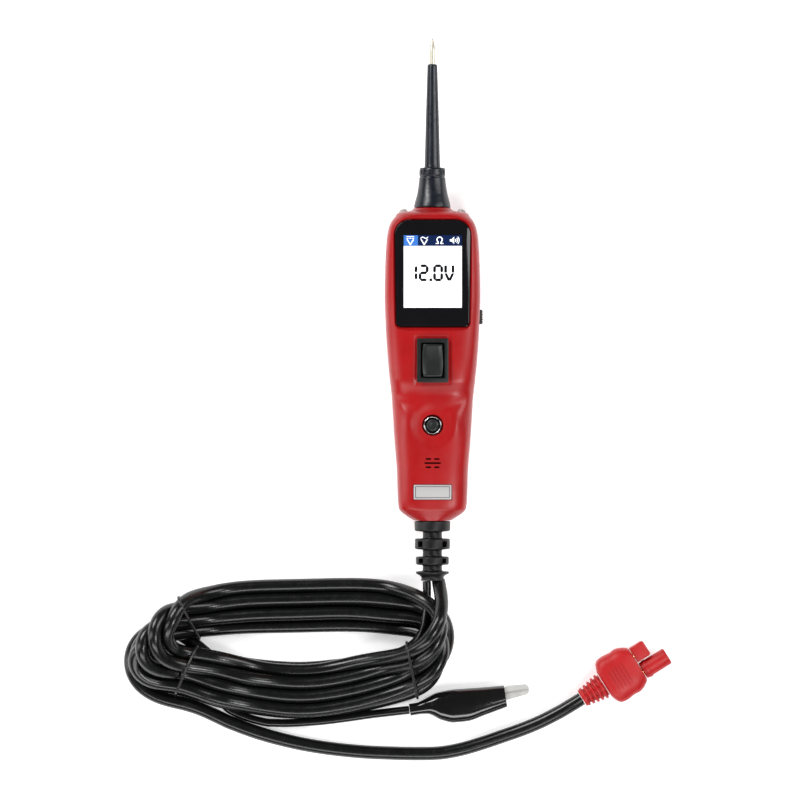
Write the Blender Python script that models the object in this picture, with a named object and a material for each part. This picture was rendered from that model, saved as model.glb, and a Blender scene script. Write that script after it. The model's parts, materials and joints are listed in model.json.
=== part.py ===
"""Powered circuit tester: a hand-held probe with a screen, its coiled supply cable with a two-pole plug,
and an auxiliary ground lead with an alligator clip.

The tester lies on its back. The origin is the centre of its flat back, X is across, the probe points
along +Y and the screen faces +Z. Numbers are millimetres; MM turns them into Blender's metres.
"""

import math

import bmesh
import bpy
import numpy as np
from mathutils import Matrix, Vector

MM = 0.001
GAP = 0.3  # clearance between pieces that meet

# Driving dimensions of the tester
AXIS_Z = 16.5  # the probe's and the strain relief's axis, which is also the parting plane
WALL = 2.0
SECTION_POINTS = 36
BODY_SECTIONS = [  # y, half width, back z, face z, squareness of the face
    (75.0, 8.65, 7.85, 25.15, 2.0),
    (73.8, 10.2, 6.2, 27.2, 2.2),
    (73.0, 13.5, 4.2, 30.4, 2.8),
    (72.3, 16.8, 2.6, 32.6, 3.6),
    (70.6, 17.9, 1.2, 34.4, 4.6),
    (68.6, 19.4, 0.2, 35.2, 5.6),
    (65.5, 20.8, -0.5, 35.6, 6.5),
    (60.0, 21.8, -0.5, 35.7, 6.5),
    (48.0, 22.5, -0.5, 35.7, 6.5),
    (33.0, 22.8, -0.5, 35.6, 6.5),
    (18.0, 22.3, -0.5, 35.4, 6.0),
    (2.4, 21.3, -0.5, 35.0, 5.5),
    (-7.0, 20.4, -0.5, 34.2, 5.0),
    (-15.0, 19.5, -0.5, 31.9, 4.2),
    (-21.0, 19.1, -0.5, 32.1, 4.0),
    (-34.0, 18.3, -0.5, 31.7, 4.0),
    (-51.0, 17.0, -0.5, 30.6, 4.0),
    (-63.0, 16.6, -0.5, 29.2, 4.0),
    (-68.6, 16.1, 0.8, 28.2, 3.6),
    (-70.6, 14.6, 2.6, 27.2, 3.0),
    (-72.5, 12.0, 4.8, 26.2, 2.6),
    (-74.4, 8.9, 7.6, 25.4, 2.1),
]
BACK_SQUARENESS = 3.6
CAVITY_END = 70.7

# Display
WINDOW_HALF = 18.0
WINDOW_FOOT_HALF = 17.2
WINDOW_TOP = 68.6
WINDOW_FOOT = 18.0
WINDOW_TOP_RADIUS = 7.0
WINDOW_FOOT_RADIUS = 2.0
WINDOW_Z = (33.7, 35.1)
LCD_SIZE = (34.0, 45.0, 2.8)
LCD_CENTRE = (0.0, 42.0, 32.0)
HOLDER_Z = (27.0, 30.3)

# Circuit board
BOARD_Z = (18.0, 19.6)
BOARD_OUTLINE = [(16, 47.5), (16, -5), (14, -18), (12.6, -54)]

# Switches
ROCKER_Y = 2.0
ROCKER_BEZEL = (15.0, 21.0)
ROCKER_BEZEL_Z = (35.3, 37.1)
ROCKER_BODY = (12.8, 18.8)
ROCKER_BODY_FOOT = 22.3
ROCKER_POCKET = (10.6, 16.0)
ROCKER_POCKET_FOOT = 30.0
PADDLE_WIDTH = 10.0
PADDLE_PIVOT_Z = 36.0
MODE_Y = -28.8
MODE_RING = (3.4, 4.4, 29.0, 32.3)  # inner and outer radius, foot and top z
MODE_CAP_RADIUS = 3.1
SIDE_BUTTON = (22.85, 20.5)  # y, z
SIDE_BUTTON_HALF = (3.5, 2.2)
SOUNDER_Y = -46.8
PLATE_Y = -60.6
PLATE_SIZE = (17.9, 7.0, 0.6)
PLATE_TILT = math.radians(6.0)
PLATE_Z = 29.55
LED_TIP = (14.7, 74.4)
LED_ANGLE = math.radians(26)  # from +Y towards the side
SCREWS = [(13.8, 13.5), (-13.8, 13.5), (9.4, -59.5), (-9.4, -59.5)]

# Cords
CABLE = 6.5
LEAD = 4.0
OUTLET_Y = -103.2
CABLE_EXIT = (2.9, OUTLET_Y - GAP, AXIS_Z)
LEAD_EXIT = (-2.7, OUTLET_Y - GAP, AXIS_Z)
COIL_CENTRE = (-69.5, -136.2)
COIL_HALF = (79.5, 32.5)
COIL_SQUARENESS = 2.2
COIL_HOLE_CENTRE = (-64.0, -135.6)
COIL_HOLE_HALF = (51.0, 9.6)
COIL_HOLE_SQUARENESS = 1.7
COIL_Z = (1.8, 21.0)
COIL_POINTS = 56
TIE = 1.2
TIE_SPANS = [  # inner and outer end in plan of each tie's loop
    ((-109.0, -134.4), (-122.6, -107.6)),
    ((-109.0, -137.0), (-125.4, -164.4)),
    ((-18.0, -136.6), (-10.2, -160.5)),
]
CABLE_IN = [CABLE_EXIT, (3.3, -108, 16.6), (4.4, -114, 16.9), (5.2, -119.2, 17.0)]
LEAD_IN = [LEAD_EXIT, (-2.3, -108, 16.6), (-1.8, -112, 16.8), (-1.5, -115.4, 16.9)]
CABLE_OUT = [
    (-98, -171.8, 3.3), (-88, -175.6, 3.3), (-77, -179.0, 3.3), (-63.5, -182.2, 3.3), (-49.6, -184.5, 3.3),
    (-34, -186.1, 3.3), (-18.9, -186.8, 3.3), (-7.5, -187.0, 3.3), (3.7, -186.7, 3.3), (14, -184.9, 3.3),
    (24, -182.0, 3.3), (34, -178.6, 3.5), (43, -175.4, 4.1), (52, -171.6, 5.2), (61, -166.9, 6.5),
    (66.5, -163.6, 7.2), (71.75, -160.35, 7.5),
]
LEAD_OUT = [
    (-79, -172.2, 2.05), (-70, -172.4, 2.05), (-60, -171.9, 2.05), (-50, -171.0, 2.05), (-40, -169.7, 2.3),
    (-30, -168.2, 3.2), (-20, -166.9, 4.7), (-11.1, -165.85, 5.4),
]

# Alligator clip, in its own frame: X along the clip from the lead's entry, Y across, Z up
CLIP_PLACE = (-10.8, -165.8, 5.4)
CLIP_ANGLE = math.radians(9)
CLIP_PIN = (41.5, 0.4)
BOOT_SECTIONS = [  # x, upper y, lower y, half height
    (0.0, 2.9, -2.9, 2.9), (8.0, 4.2, -3.3, 3.3), (14.5, 6.3, -7.6, 4.9), (20.0, 6.5, -9.4, 5.35),
    (27.0, 6.0, -9.9, 5.35), (35.0, 5.4, -8.3, 5.3), (46.5, 4.6, -6.0, 4.9),
]
BOOT_WALL = 1.0
TEETH = 7
TOOTH = 1.5
TOOTH_DEPTH = 0.45
JAW_LINE = 1.1  # where the closed jaws meet, across the clip
JAW_TIP = 58.3
PIN_BORE = 1.5

# Supply plug, in its own frame: X along the plug from the cable's entry
PLUG_PLACE = (72.0, -160.2, 7.5)
PLUG_ANGLE = math.radians(32)
PLUG_SECTIONS = [  # x, half width, half height
    (12.6, 7.2, 5.6), (14.0, 10.6, 6.8), (17.0, 12.0, 7.3),
    (25.0, 12.0, 7.3), (29.0, 10.6, 7.0), (31.5, 8.6, 6.2),
]
ROUND_POLE_Y = -4.3
SQUARE_POLE_Y = 4.6
PLUG_BORE = 2.3

for old in list(bpy.data.objects):
    bpy.data.objects.remove(old)


# ---------------------------------------------------------------- materials
def material(name, colour, roughness, metallic=0.0):
    made = bpy.data.materials.new(name)
    made.use_nodes = True
    shader = made.node_tree.nodes["Principled BSDF"]
    shader.inputs["Base Color"].default_value = (*colour, 1.0)
    shader.inputs["Roughness"].default_value = roughness
    shader.inputs["Metallic"].default_value = metallic
    made.diffuse_color = (*colour, 1.0)
    return made


RED_SHELL = material("red_shell", (0.55, 0.02, 0.025), 0.35)
RED_RUBBER = material("red_rubber", (0.62, 0.03, 0.03), 0.5)
BLACK_PLASTIC = material("black_plastic", (0.02, 0.02, 0.022), 0.4)
BLACK_RUBBER = material("black_rubber", (0.015, 0.015, 0.017), 0.55)
SCREEN = material("screen", (0.01, 0.01, 0.015), 0.1)
STEEL = material("steel", (0.6, 0.6, 0.6), 0.3, 1.0)
BRASS = material("brass", (0.75, 0.55, 0.25), 0.3, 1.0)
ALUMINIUM = material("aluminium", (0.7, 0.7, 0.72), 0.4, 1.0)
BOARD = material("board", (0.03, 0.2, 0.07), 0.5)
CLEAR_LENS = material("clear_lens", (0.8, 0.78, 0.78), 0.1)


# ---------------------------------------------------------------- shapes
def frame_empty(name, place, turn):
    empty = bpy.data.objects.new(name, None)
    empty.location = Vector(place) * MM
    empty.rotation_euler = (0, 0, turn)
    bpy.context.collection.objects.link(empty)
    return empty


def add(name, mesh, look, place=(0, 0, 0), turn=(0, 0, 0), parent=None):
    """An object from a mesh whose corners are in millimetres around its own origin."""
    mesh.transform(Matrix.Scale(MM, 4))
    made = bpy.data.objects.new(name, mesh)
    made.location = Vector(place) * MM
    made.rotation_euler = turn
    made.parent = parent
    bpy.context.collection.objects.link(made)
    if look:
        mesh.materials.append(look)
    return made


def loft(name, loops, wrap=False):
    """A closed skin over loops of equally many corners: capped at both ends, or wrapped into a ring."""
    bm = bmesh.new()
    rows = [[bm.verts.new(corner) for corner in loop] for loop in loops]
    count = len(rows[0])
    pairs = list(zip(rows, rows[1:] + rows[:1])) if wrap else list(zip(rows, rows[1:]))
    for low, high in pairs:
        for i in range(count):
            j = (i + 1) % count
            bm.faces.new((low[i], low[j], high[j], high[i]))
    if not wrap:
        bm.faces.new(rows[0])
        bm.faces.new(rows[-1])
    bmesh.ops.recalc_face_normals(bm, faces=bm.faces)
    mesh = bpy.data.meshes.new(name)
    bm.to_mesh(mesh)
    bm.free()
    return mesh


def circle(radius, z, sides):
    turns = [math.tau * i / sides for i in range(sides)]
    return [(radius * math.cos(a), radius * math.sin(a), z) for a in turns]


def turned(name, profile, sides=24, hollow=False):
    """A piece turned about Z, from radius and z pairs; a hollow one goes once round its own section."""
    mesh = loft(name, [circle(radius, z, sides) for radius, z in profile], wrap=hollow)
    mesh.shade_smooth()
    mesh.set_sharp_from_angle(angle=math.radians(40))
    return mesh


def prism(name, outline, low, high):
    return loft(name, [[(x, y, z) for x, y in outline] for z in (low, high)])


def block(name, low, high):
    outline = [(low[0], low[1]), (high[0], low[1]), (high[0], high[1]), (low[0], high[1])]
    return prism(name, outline, low[2], high[2])


def filleted(corners, steps=4):
    """An outline whose corners (x, y, radius) are rounded by arcs."""
    outline = []
    for before, (x, y, radius), after in zip(corners[-1:] + corners[:-1], corners, corners[1:] + corners[:1]):
        corner = Vector((x, y))
        if radius == 0:
            outline.append((x, y))
            continue
        back = (Vector(before[:2]) - corner).normalized()
        ahead = (Vector(after[:2]) - corner).normalized()
        half = back.angle(ahead) / 2
        centre = corner + (back + ahead).normalized() * radius / math.sin(half)
        first = corner + back * radius / math.tan(half) - centre
        sweep = first.angle_signed(corner + ahead * radius / math.tan(half) - centre)
        for step in range(steps + 1):
            outline.append(tuple(centre + Matrix.Rotation(-sweep * step / steps, 2) @ first))
    return outline


def boolean(target, tool, operation="DIFFERENCE"):
    """Cuts or joins with a tool object, which is then only a guide."""
    change = target.modifiers.new(tool.name, "BOOLEAN")
    change.operation = operation
    change.object = tool
    tool.hide_render = True
    tool.display_type = "WIRE"


def bevelled(made, width, segments=2):
    edge = made.modifiers.new("edges", "BEVEL")
    edge.width = width * MM
    edge.segments = segments
    edge.limit_method = "ANGLE"
    edge.angle_limit = math.radians(50)
    return made


def smooth_route(points, spacing):
    """Points every `spacing` along a Catmull-Rom curve through the route's own points."""
    p = [np.array(q, float) for q in points]
    p = [2 * p[0] - p[1]] + p + [2 * p[-1] - p[-2]]
    dense = []
    for a, b, c, d in zip(p, p[1:], p[2:], p[3:]):
        for t in np.linspace(0, 1, 20, endpoint=False):
            square, cube = (2 * a - 5 * b + 4 * c - d) * t**2, (3 * b - a - 3 * c + d) * t**3
            dense.append(0.5 * (2 * b + (c - a) * t + square + cube))
    dense = np.array(dense + [p[-2]])
    run = np.concatenate([[0], np.cumsum(np.linalg.norm(np.diff(dense, axis=0), axis=1))])
    at = np.linspace(0, run[-1], max(2, round(run[-1] / spacing) + 1))
    return np.column_stack([np.interp(at, run, dense[:, k]) for k in range(3)])


def tube(name, points, diameter, look, sides_step=2, cyclic=False, parent=None):
    curve = bpy.data.curves.new(name, "CURVE")
    curve.dimensions = "3D"
    curve.bevel_depth = diameter / 2 * MM
    curve.bevel_resolution = sides_step
    curve.use_fill_caps = not cyclic
    line = curve.splines.new("POLY")
    line.points.add(len(points) - 1)
    for corner, point in zip(line.points, points):
        corner.co = (*(float(v) * MM for v in point), 1)
    line.use_cyclic_u = cyclic
    curve.materials.append(look)
    made = bpy.data.objects.new(name, curve)
    made.parent = parent
    bpy.context.collection.objects.link(made)
    return made


def oval(centre, half, squareness, count):
    corners = []
    for i in range(count):
        a = math.tau * i / count
        c, s = math.cos(a), math.sin(a)
        x = centre[0] + half[0] * math.copysign(abs(c) ** (2 / squareness), c)
        y = centre[1] + half[1] * math.copysign(abs(s) ** (2 / squareness), s)
        corners.append((x, y))
    return corners


# ---------------------------------------------------------------- tester shells
def body_loop(section, inset):
    """One cross-section of the tester: squarer towards the face, flat where it rests on its back."""
    y, half, back, face, squareness = section
    corners = []
    for i in range(SECTION_POINTS):
        a = math.tau * (i + 0.5) / SECTION_POINTS
        c, s = math.cos(a), math.sin(a)
        power = squareness if s > 0 else BACK_SQUARENESS
        rise = (face if s > 0 else 2 * AXIS_Z - back) - AXIS_Z - inset
        x = (half - inset) * math.copysign(abs(c) ** (2 / power), c)
        z = AXIS_Z + rise * math.copysign(abs(s) ** (2 / power), s)
        corners.append((x, y, max(z, inset)))
    return corners


def turned_cutter(name, profile, place, turn=(0, 0, 0)):
    return add(name, turned(name, profile, 20), None, place, turn)


def shell(name, keep_low, keep_high):
    """One half of the housing: the outer skin less the cavity, kept between two heights."""
    made = add(name, loft(name, [body_loop(s, 0) for s in BODY_SECTIONS]), RED_SHELL)
    inner = [s for s in BODY_SECTIONS if abs(s[0]) < CAVITY_END]
    boolean(made, add(name + "_cavity", loft("cavity", [body_loop(s, WALL) for s in inner]), None))
    half = add(name + "_half", block("half", (-40, -90, keep_low), (40, 90, keep_high)), None)
    boolean(made, half, "INTERSECT")
    return made


def window_outline(grow):
    top, foot = WINDOW_TOP + grow, WINDOW_FOOT - grow
    half, foot_half = WINDOW_HALF + grow, WINDOW_FOOT_HALF + grow
    top_r, foot_r = WINDOW_TOP_RADIUS + grow, WINDOW_FOOT_RADIUS + grow
    corners = [(half, top, top_r), (-half, top, top_r), (-foot_half, foot, foot_r), (foot_half, foot, foot_r)]
    return filleted(corners)


along_y = (-math.pi / 2, 0, 0)  # turns a piece's own Z onto +Y
front_cover = shell("front_cover", AXIS_Z + GAP / 2, 60)
rear_cover = shell("rear_cover", -10, AXIS_Z - GAP / 2)
front_bore = turned_cutter("front_bore", [(5.6, 0), (5.6, 14)], (0, 64, AXIS_Z), along_y)
rear_bore = turned_cutter("rear_bore", [(6.6, 0), (6.6, 14)], (0, -80, AXIS_Z), along_y)
led_bores = []
for side in (1, -1):
    bore = turned_cutter(f"led_bore_{side}", [(2.4, -12), (2.4, 4)], (side * LED_TIP[0], LED_TIP[1], AXIS_Z),
                         (-math.pi / 2, 0, -side * LED_ANGLE))
    led_bores.append(bore)
for i, (x, y) in enumerate(SCREWS):
    post = turned_cutter(f"post_{i}", [(3.8, 2.15), (3.8, AXIS_Z - GAP / 2)], (x, y, 0))
    boss = turned_cutter(f"boss_{i}", [(3.3, AXIS_Z + GAP / 2), (3.3, 33.7 if y > 0 else 28.2)], (x, y, 0))
    head = turned_cutter(f"screw_way_{i}", [(3.0, -3), (3.0, 3.6), (1.7, 3.6), (1.7, 23)], (x, y, 0))
    boolean(rear_cover, post, "UNION")
    boolean(front_cover, boss, "UNION")
    boolean(rear_cover, head)
    boolean(front_cover, head)
for cover in (front_cover, rear_cover):
    for bore in (front_bore, rear_bore, *led_bores):
        boolean(cover, bore)
openings = [
    add("window_way", prism("way", window_outline(GAP), 25, 60), None),
    add("rocker_way", block("way", (-6.7, ROCKER_Y - 9.7, 25), (6.7, ROCKER_Y + 9.7, 60)), None),
    turned_cutter("mode_way", [(4.7, 25), (4.7, 45)], (0, MODE_Y, 0)),
    add("side_way", block("way", (15, -SIDE_BUTTON_HALF[0] - GAP, -SIDE_BUTTON_HALF[1] - GAP),
                          (30, SIDE_BUTTON_HALF[0] + GAP, SIDE_BUTTON_HALF[1] + GAP)), None,
        (0, *SIDE_BUTTON)),
    add("plate_way", block("way", (-PLATE_SIZE[0] / 2 - GAP, -PLATE_SIZE[1] / 2 - GAP, -GAP),
                           (PLATE_SIZE[0] / 2 + GAP, PLATE_SIZE[1] / 2 + GAP, 5)), None,
        (0, PLATE_Y, PLATE_Z - PLATE_SIZE[2]), (PLATE_TILT, 0, 0)),
]
for row, xs in ((1.95, (-2.0, 2.0)), (0, (0,)), (-1.95, (-2.0, 2.0))):
    for x in xs:
        half = 3.95 if row == 0 else 1.3
        slot = block("slot", (x - half, SOUNDER_Y + row - 0.4, 25), (x + half, SOUNDER_Y + row + 0.4, 45))
        openings.append(add(f"slot_{row}_{x}", slot, None))
for opening in openings:
    boolean(front_cover, opening)

# ---------------------------------------------------------------- display and board
add("display_window", prism("display_window", window_outline(0), *WINDOW_Z), SCREEN)
lcd_low = [c - s / 2 for c, s in zip(LCD_CENTRE, LCD_SIZE)]
lcd_high = [c + s / 2 for c, s in zip(LCD_CENTRE, LCD_SIZE)]
add("lcd_panel", block("lcd_panel", lcd_low, lcd_high), SCREEN)
holder = add("lcd_holder", block("lcd_holder", (-17, 20, HOLDER_Z[0]), (17, 64, HOLDER_Z[1])), BLACK_PLASTIC)
boolean(holder, add("holder_way", block("way", (-13, 24, 0), (13, 60, 50)), None))
for i, (x, y) in enumerate([(-14.5, 44), (14.5, 44), (-14.5, 30), (14.5, 30)]):
    leg = block("leg", (x - 1, y - 1, BOARD_Z[1] + GAP), (x + 1, y + 1, HOLDER_Z[0] + 1))
    boolean(holder, add(f"leg_{i}", leg, None), "UNION")
outline = BOARD_OUTLINE + [(-x, y) for x, y in reversed(BOARD_OUTLINE)]
board = add("main_board", prism("main_board", outline, *BOARD_Z), BOARD)
boolean(board, add("terminal_way", block("way", (-5.5, ROCKER_Y - 7, 10), (5.5, ROCKER_Y + 7, 30)), None))
for i, (x, y) in enumerate(SCREWS[:2]):
    boolean(board, turned_cutter(f"boss_way_{i}", [(3.8, 10), (3.8, 30)], (x, y, 0)))
chip = block("microcontroller", (-6, 30, BOARD_Z[1] + GAP), (6, 42, BOARD_Z[1] + 1.8))
add("microcontroller", chip, BLACK_PLASTIC)
sounder = [(6.0, BOARD_Z[1] + GAP), (6.0, 26.0), (1.2, 26.0), (1.2, 24.6)]
add("sounder", turned("sounder", sounder), BLACK_PLASTIC, (0, SOUNDER_Y, 0))
add("power_relay", block("power_relay", (-7.5, -25, 5.4), (7.5, -6, BOARD_Z[0] - GAP)), BLACK_PLASTIC)
for side, name in ((1, "right"), (-1, "left")):
    low, high = sorted((side * 2.5, side * 12.0))
    package = block("package", (low, 27, 13.2), (high, 42, BOARD_Z[0] - GAP))
    bevelled(add(f"power_transistor_{name}", package, BLACK_PLASTIC), 0.5, 1)
fins = []
for i in range(5):
    x = -12 + 5 * i
    fins += [(x, 3.2), (x + 1.6, 3.2), (x + 1.6, 9.5), (x + 5, 9.5)]
comb = fins[:-1] + [(12, 12.9), (-12, 12.9)]
add("heat_sink", prism("heat_sink", comb, -45, -25), ALUMINIUM, turn=(math.pi / 2, 0, 0))

# ---------------------------------------------------------------- rocker switch
housing_half = [size / 2 for size in ROCKER_BEZEL]
bezel = block("rocker_housing", (-housing_half[0], -housing_half[1], ROCKER_BEZEL_Z[0]),
              (housing_half[0], housing_half[1], ROCKER_BEZEL_Z[1]))
housing = add("rocker_housing", bezel, BLACK_PLASTIC, (0, ROCKER_Y, 0))
bevelled(housing, 0.5)
stem = block("stem", (-ROCKER_BODY[0] / 2, -ROCKER_BODY[1] / 2, ROCKER_BODY_FOOT),
             (ROCKER_BODY[0] / 2, ROCKER_BODY[1] / 2, ROCKER_BEZEL_Z[0] + 0.5))
boolean(housing, add("rocker_stem", stem, None, (0, ROCKER_Y, 0)), "UNION")
pocket = block("pocket", (-ROCKER_POCKET[0] / 2, -ROCKER_POCKET[1] / 2, ROCKER_POCKET_FOOT),
               (ROCKER_POCKET[0] / 2, ROCKER_POCKET[1] / 2, 50))
boolean(housing, add("rocker_pocket", pocket, None, (0, ROCKER_Y, 0)))
# The paddle's side view, as y and z from its pivot
paddle_side = [(-7.6, 3.2), (-6.9, 3.5), (0, 2.3), (6.9, 3.5), (7.6, 3.2),
               (7.5, -1), (6.8, -4), (-6.8, -4), (-7.5, -1)]
paddle_loops = [[(x, y, z) for y, z in paddle_side] for x in (-PADDLE_WIDTH / 2, PADDLE_WIDTH / 2)]
paddle = loft("rocker_paddle", paddle_loops)
bevelled(add("rocker_paddle", paddle, BLACK_PLASTIC, (0, ROCKER_Y, PADDLE_PIVOT_Z)), 0.4)
for i in range(3):
    y = ROCKER_Y + 5.5 * (i - 1)
    blade = block("blade", (-2.4, y - 0.4, 15.2), (2.4, y + 0.4, ROCKER_BODY_FOOT - GAP))
    add(f"rocker_terminal_{i + 1}", blade, BRASS)

# ---------------------------------------------------------------- push buttons
inner, outer, foot, top = MODE_RING
ring = [(inner, foot), (outer, foot), (outer, top - 0.4), (outer - 0.4, top),
        (inner + 0.2, top), (inner, top - 0.3)]
add("mode_button_ring", turned("mode_button_ring", ring, 28, hollow=True), STEEL, (0, MODE_Y, 0))
cap = [(1.6, 25.4), (1.6, 26.3), (4.3, 26.3), (4.3, 27.3), (MODE_CAP_RADIUS, 27.3), (MODE_CAP_RADIUS, 31.6),
       (2.7, 32.2), (1.6, 32.6), (0.5, 32.7)]
add("mode_button", turned("mode_button", cap, 20), BLACK_PLASTIC, (0, MODE_Y, 0))
switch = block("mode_switch", (-3, MODE_Y - 3, BOARD_Z[1] + GAP), (3, MODE_Y + 3, 24.1))
add("mode_switch", switch, BLACK_PLASTIC)
half_y, half_z = SIDE_BUTTON_HALF
key_block = block("side_button", (19.2, -half_y, -half_z), (24.1, half_y, half_z))
key = add("side_button", key_block, BLACK_PLASTIC, (0, *SIDE_BUTTON))
bevelled(key, 0.5, 1)
flange = block("flange", (17.9, -half_y - 1, -half_z - 0.9), (19.6, half_y + 1, half_z + 0.9))
boolean(key, add("side_flange", flange, None, (0, *SIDE_BUTTON)), "UNION")
add("side_switch", block("side_switch", (11, 20, BOARD_Z[1] + GAP), (15.9, 25.7, 23.4)), BLACK_PLASTIC)

# ---------------------------------------------------------------- headlights, plate, screws
for side, name in ((1, "right"), (-1, "left")):
    lamp = [(2.1, -10), (2.1, -1.6), (1.95, -0.9), (1.5, -0.35), (0.8, -0.05), (0.3, 0)]
    turn = (-math.pi / 2, 0, -side * LED_ANGLE)
    tip = (side * LED_TIP[0], LED_TIP[1], AXIS_Z)
    add(f"headlight_{name}", turned("lamp", lamp, 16), CLEAR_LENS, tip, turn)
    wire = [(side * 9.9, 63.7, AXIS_Z), (side * 9.3, 59, 15.2), (side * 9, 52, 14.5),
            (side * 9.2, 46.5, 16.2), (side * 9.4, 44.6, BOARD_Z[0] - 1.1)]
    tube(f"headlight_wire_{name}", smooth_route(wire, 3), 1.2, BLACK_PLASTIC)
plate = [size / 2 for size in PLATE_SIZE[:2]]
badge = block("nameplate", (-plate[0], -plate[1], 0), (plate[0], plate[1], PLATE_SIZE[2]))
add("nameplate", badge, ALUMINIUM, (0, PLATE_Y, PLATE_Z - PLATE_SIZE[2] + GAP), (PLATE_TILT, 0, 0))
for i, (x, y) in enumerate(SCREWS):
    screw = [(2.6, 1.6), (2.6, 3.3), (1.4, 3.3), (1.4, 21.5), (0.5, 22.5)]
    add(f"housing_screw_{i + 1}", turned("screw", screw, 12), STEEL, (x, y, 0))

# ---------------------------------------------------------------- probe
rod = [(1.55, 50), (1.55, 151.8), (0.9, 154.2), (0.25, 156.6)]
add("probe_rod", turned("probe_rod", rod, 16), STEEL, (0, 0, AXIS_Z), along_y)
sleeve = [(1.85, 76), (3.2, 76), (3.6, 90), (3.85, 94.3), (2.4, 143.2), (2.1, 143.8), (1.85, 143.8)]
add("probe_sleeve", turned("probe_sleeve", sleeve, 20, hollow=True), BLACK_PLASTIC, (0, 0, AXIS_Z), along_y)
boot = [(3.0, 66), (5.2, 66), (5.2, 75 + GAP), (8.7, 75 + GAP), (8.3, 78), (7.2, 82), (6.5, 86), (6.1, 90.2),
        (6.1, 93.9), (5.7, 94.3), (4.3, 94.3), (4.15, 90), (3.6, 75.6), (3.0, 75.6)]
add("probe_boot", turned("probe_boot", boot, 24, hollow=True), BLACK_RUBBER, (0, 0, AXIS_Z), along_y)
socket = [(1.85, 49), (4.2, 49), (4.2, 65.5), (1.85, 65.5)]
add("probe_socket", turned("probe_socket", socket, 20, hollow=True), BRASS, (0, 0, AXIS_Z), along_y)
wire = [(0, 48.4, AXIS_Z), (0, 45, 15.6), (0, 36, 14.8), (0, 26, 14.6),
        (0, 17, 12.4), (0, 8, 11.0), (0, -5.2, 11.0)]
tube("probe_wire", smooth_route(wire, 5), 2.6, RED_RUBBER)

# ---------------------------------------------------------------- strain relief and supply wires
relief = [(4.0, 64), (7.4, 64), (7.4, 67), (6.2, 67), (6.2, 74.75), (8.5, 74.75), (8.5, 79.4), (4.6, 80.2),
          (4.6, 82.6), (8.4, 83.2), (8.4, 88), (4.6, 88.6), (4.6, 91.2), (7.9, 91.8), (7.9, 95.4),
          (4.6, 96.2), (4.6, 98.2), (7.9, 99.0), (7.9, 100.2), (5.2, 101.6), (5.6, -OUTLET_Y)]
add("strain_relief", turned("strain_relief", relief, 24), BLACK_RUBBER, (0, 0, AXIS_Z), (math.pi / 2, 0, 0))
for x, name, look in ((-2.2, "positive", RED_RUBBER), (2.2, "negative", BLACK_RUBBER)):
    wire = [(x, -63.6, AXIS_Z), (x, -58, 15.8), (2 * x, -48, 13), (2 * x, -36, 11.6), (2 * x, -25.4, 11.4)]
    tube(f"supply_wire_{name}", smooth_route(wire, 5), 3.0, look)

# ---------------------------------------------------------------- cords, coil and ties
outer_loop = oval(COIL_CENTRE, COIL_HALF, COIL_SQUARENESS, COIL_POINTS)
hole_loop = oval(COIL_HOLE_CENTRE, COIL_HOLE_HALF, COIL_HOLE_SQUARENESS, COIL_POINTS)
coil_foot, coil_top = COIL_Z
coil_corners = ((outer_loop, coil_foot), (outer_loop, coil_top), (hole_loop, coil_top), (hole_loop, coil_foot))
coil_loops = [[(x, y, z) for x, y in loop] for loop, z in coil_corners]
add("cable_coil", loft("cable_coil", coil_loops, wrap=True), BLACK_RUBBER)
for i, (inside, outside) in enumerate(TIE_SPANS):
    inside, outside = Vector(inside), Vector(outside)
    middle, reach = (inside + outside) / 2, (outside - inside).length / 2
    across = (outside - inside).normalized()
    low, high = TIE / 2 + 0.05, COIL_Z[1] + TIE / 2 + GAP
    section = filleted([(-reach, low, 1), (-reach, high, 1), (reach, high, 1), (reach, low, 1)], 3)
    loop = [(*(middle + across * u), z) for u, z in section]
    tube(f"coil_tie_{i + 1}", loop, TIE, BLACK_PLASTIC, 1, cyclic=True)
tube("cable_to_coil", smooth_route(CABLE_IN, 6), CABLE, BLACK_RUBBER)
tube("lead_to_coil", smooth_route(LEAD_IN, 5), LEAD, BLACK_RUBBER)
tube("cable_to_plug", smooth_route(CABLE_OUT, 13), CABLE, BLACK_RUBBER)
tube("lead_to_clip", smooth_route(LEAD_OUT, 9), LEAD, BLACK_RUBBER)


# ---------------------------------------------------------------- alligator clip
clip = frame_empty("clip_frame", CLIP_PLACE, CLIP_ANGLE)


def boot_loop(x, upper, lower, height, inset):
    middle, half = (upper + lower) / 2, (upper - lower) / 2 - inset
    corners = []
    for i in range(16):
        a = math.tau * (i + 0.5) / 16
        c, s = math.cos(a), math.sin(a)
        y = middle + half * math.copysign(abs(c) ** 0.45, c)
        corners.append((x, y, (height - inset) * math.copysign(abs(s) ** 0.45, s)))
    return corners


skin = [boot_loop(*section, 0) for section in BOOT_SECTIONS]
lining = [boot_loop(*section, BOOT_WALL) for section in BOOT_SECTIONS[:0:-1]]
lining.append(boot_loop(*BOOT_SECTIONS[0][:3], BOOT_SECTIONS[0][3], BOOT_WALL))
add("clip_boot", loft("clip_boot", skin + lining, wrap=True), BLACK_RUBBER, parent=clip)

tooth_line = []
for i in range(TEETH):
    x = JAW_TIP - 0.4 - i * TOOTH
    tooth_line += [(x, -TOOTH_DEPTH), (x - TOOTH / 2, TOOTH_DEPTH)]
tooth_line.append((tooth_line[-1][0] - TOOTH / 2, -TOOTH_DEPTH))


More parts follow.
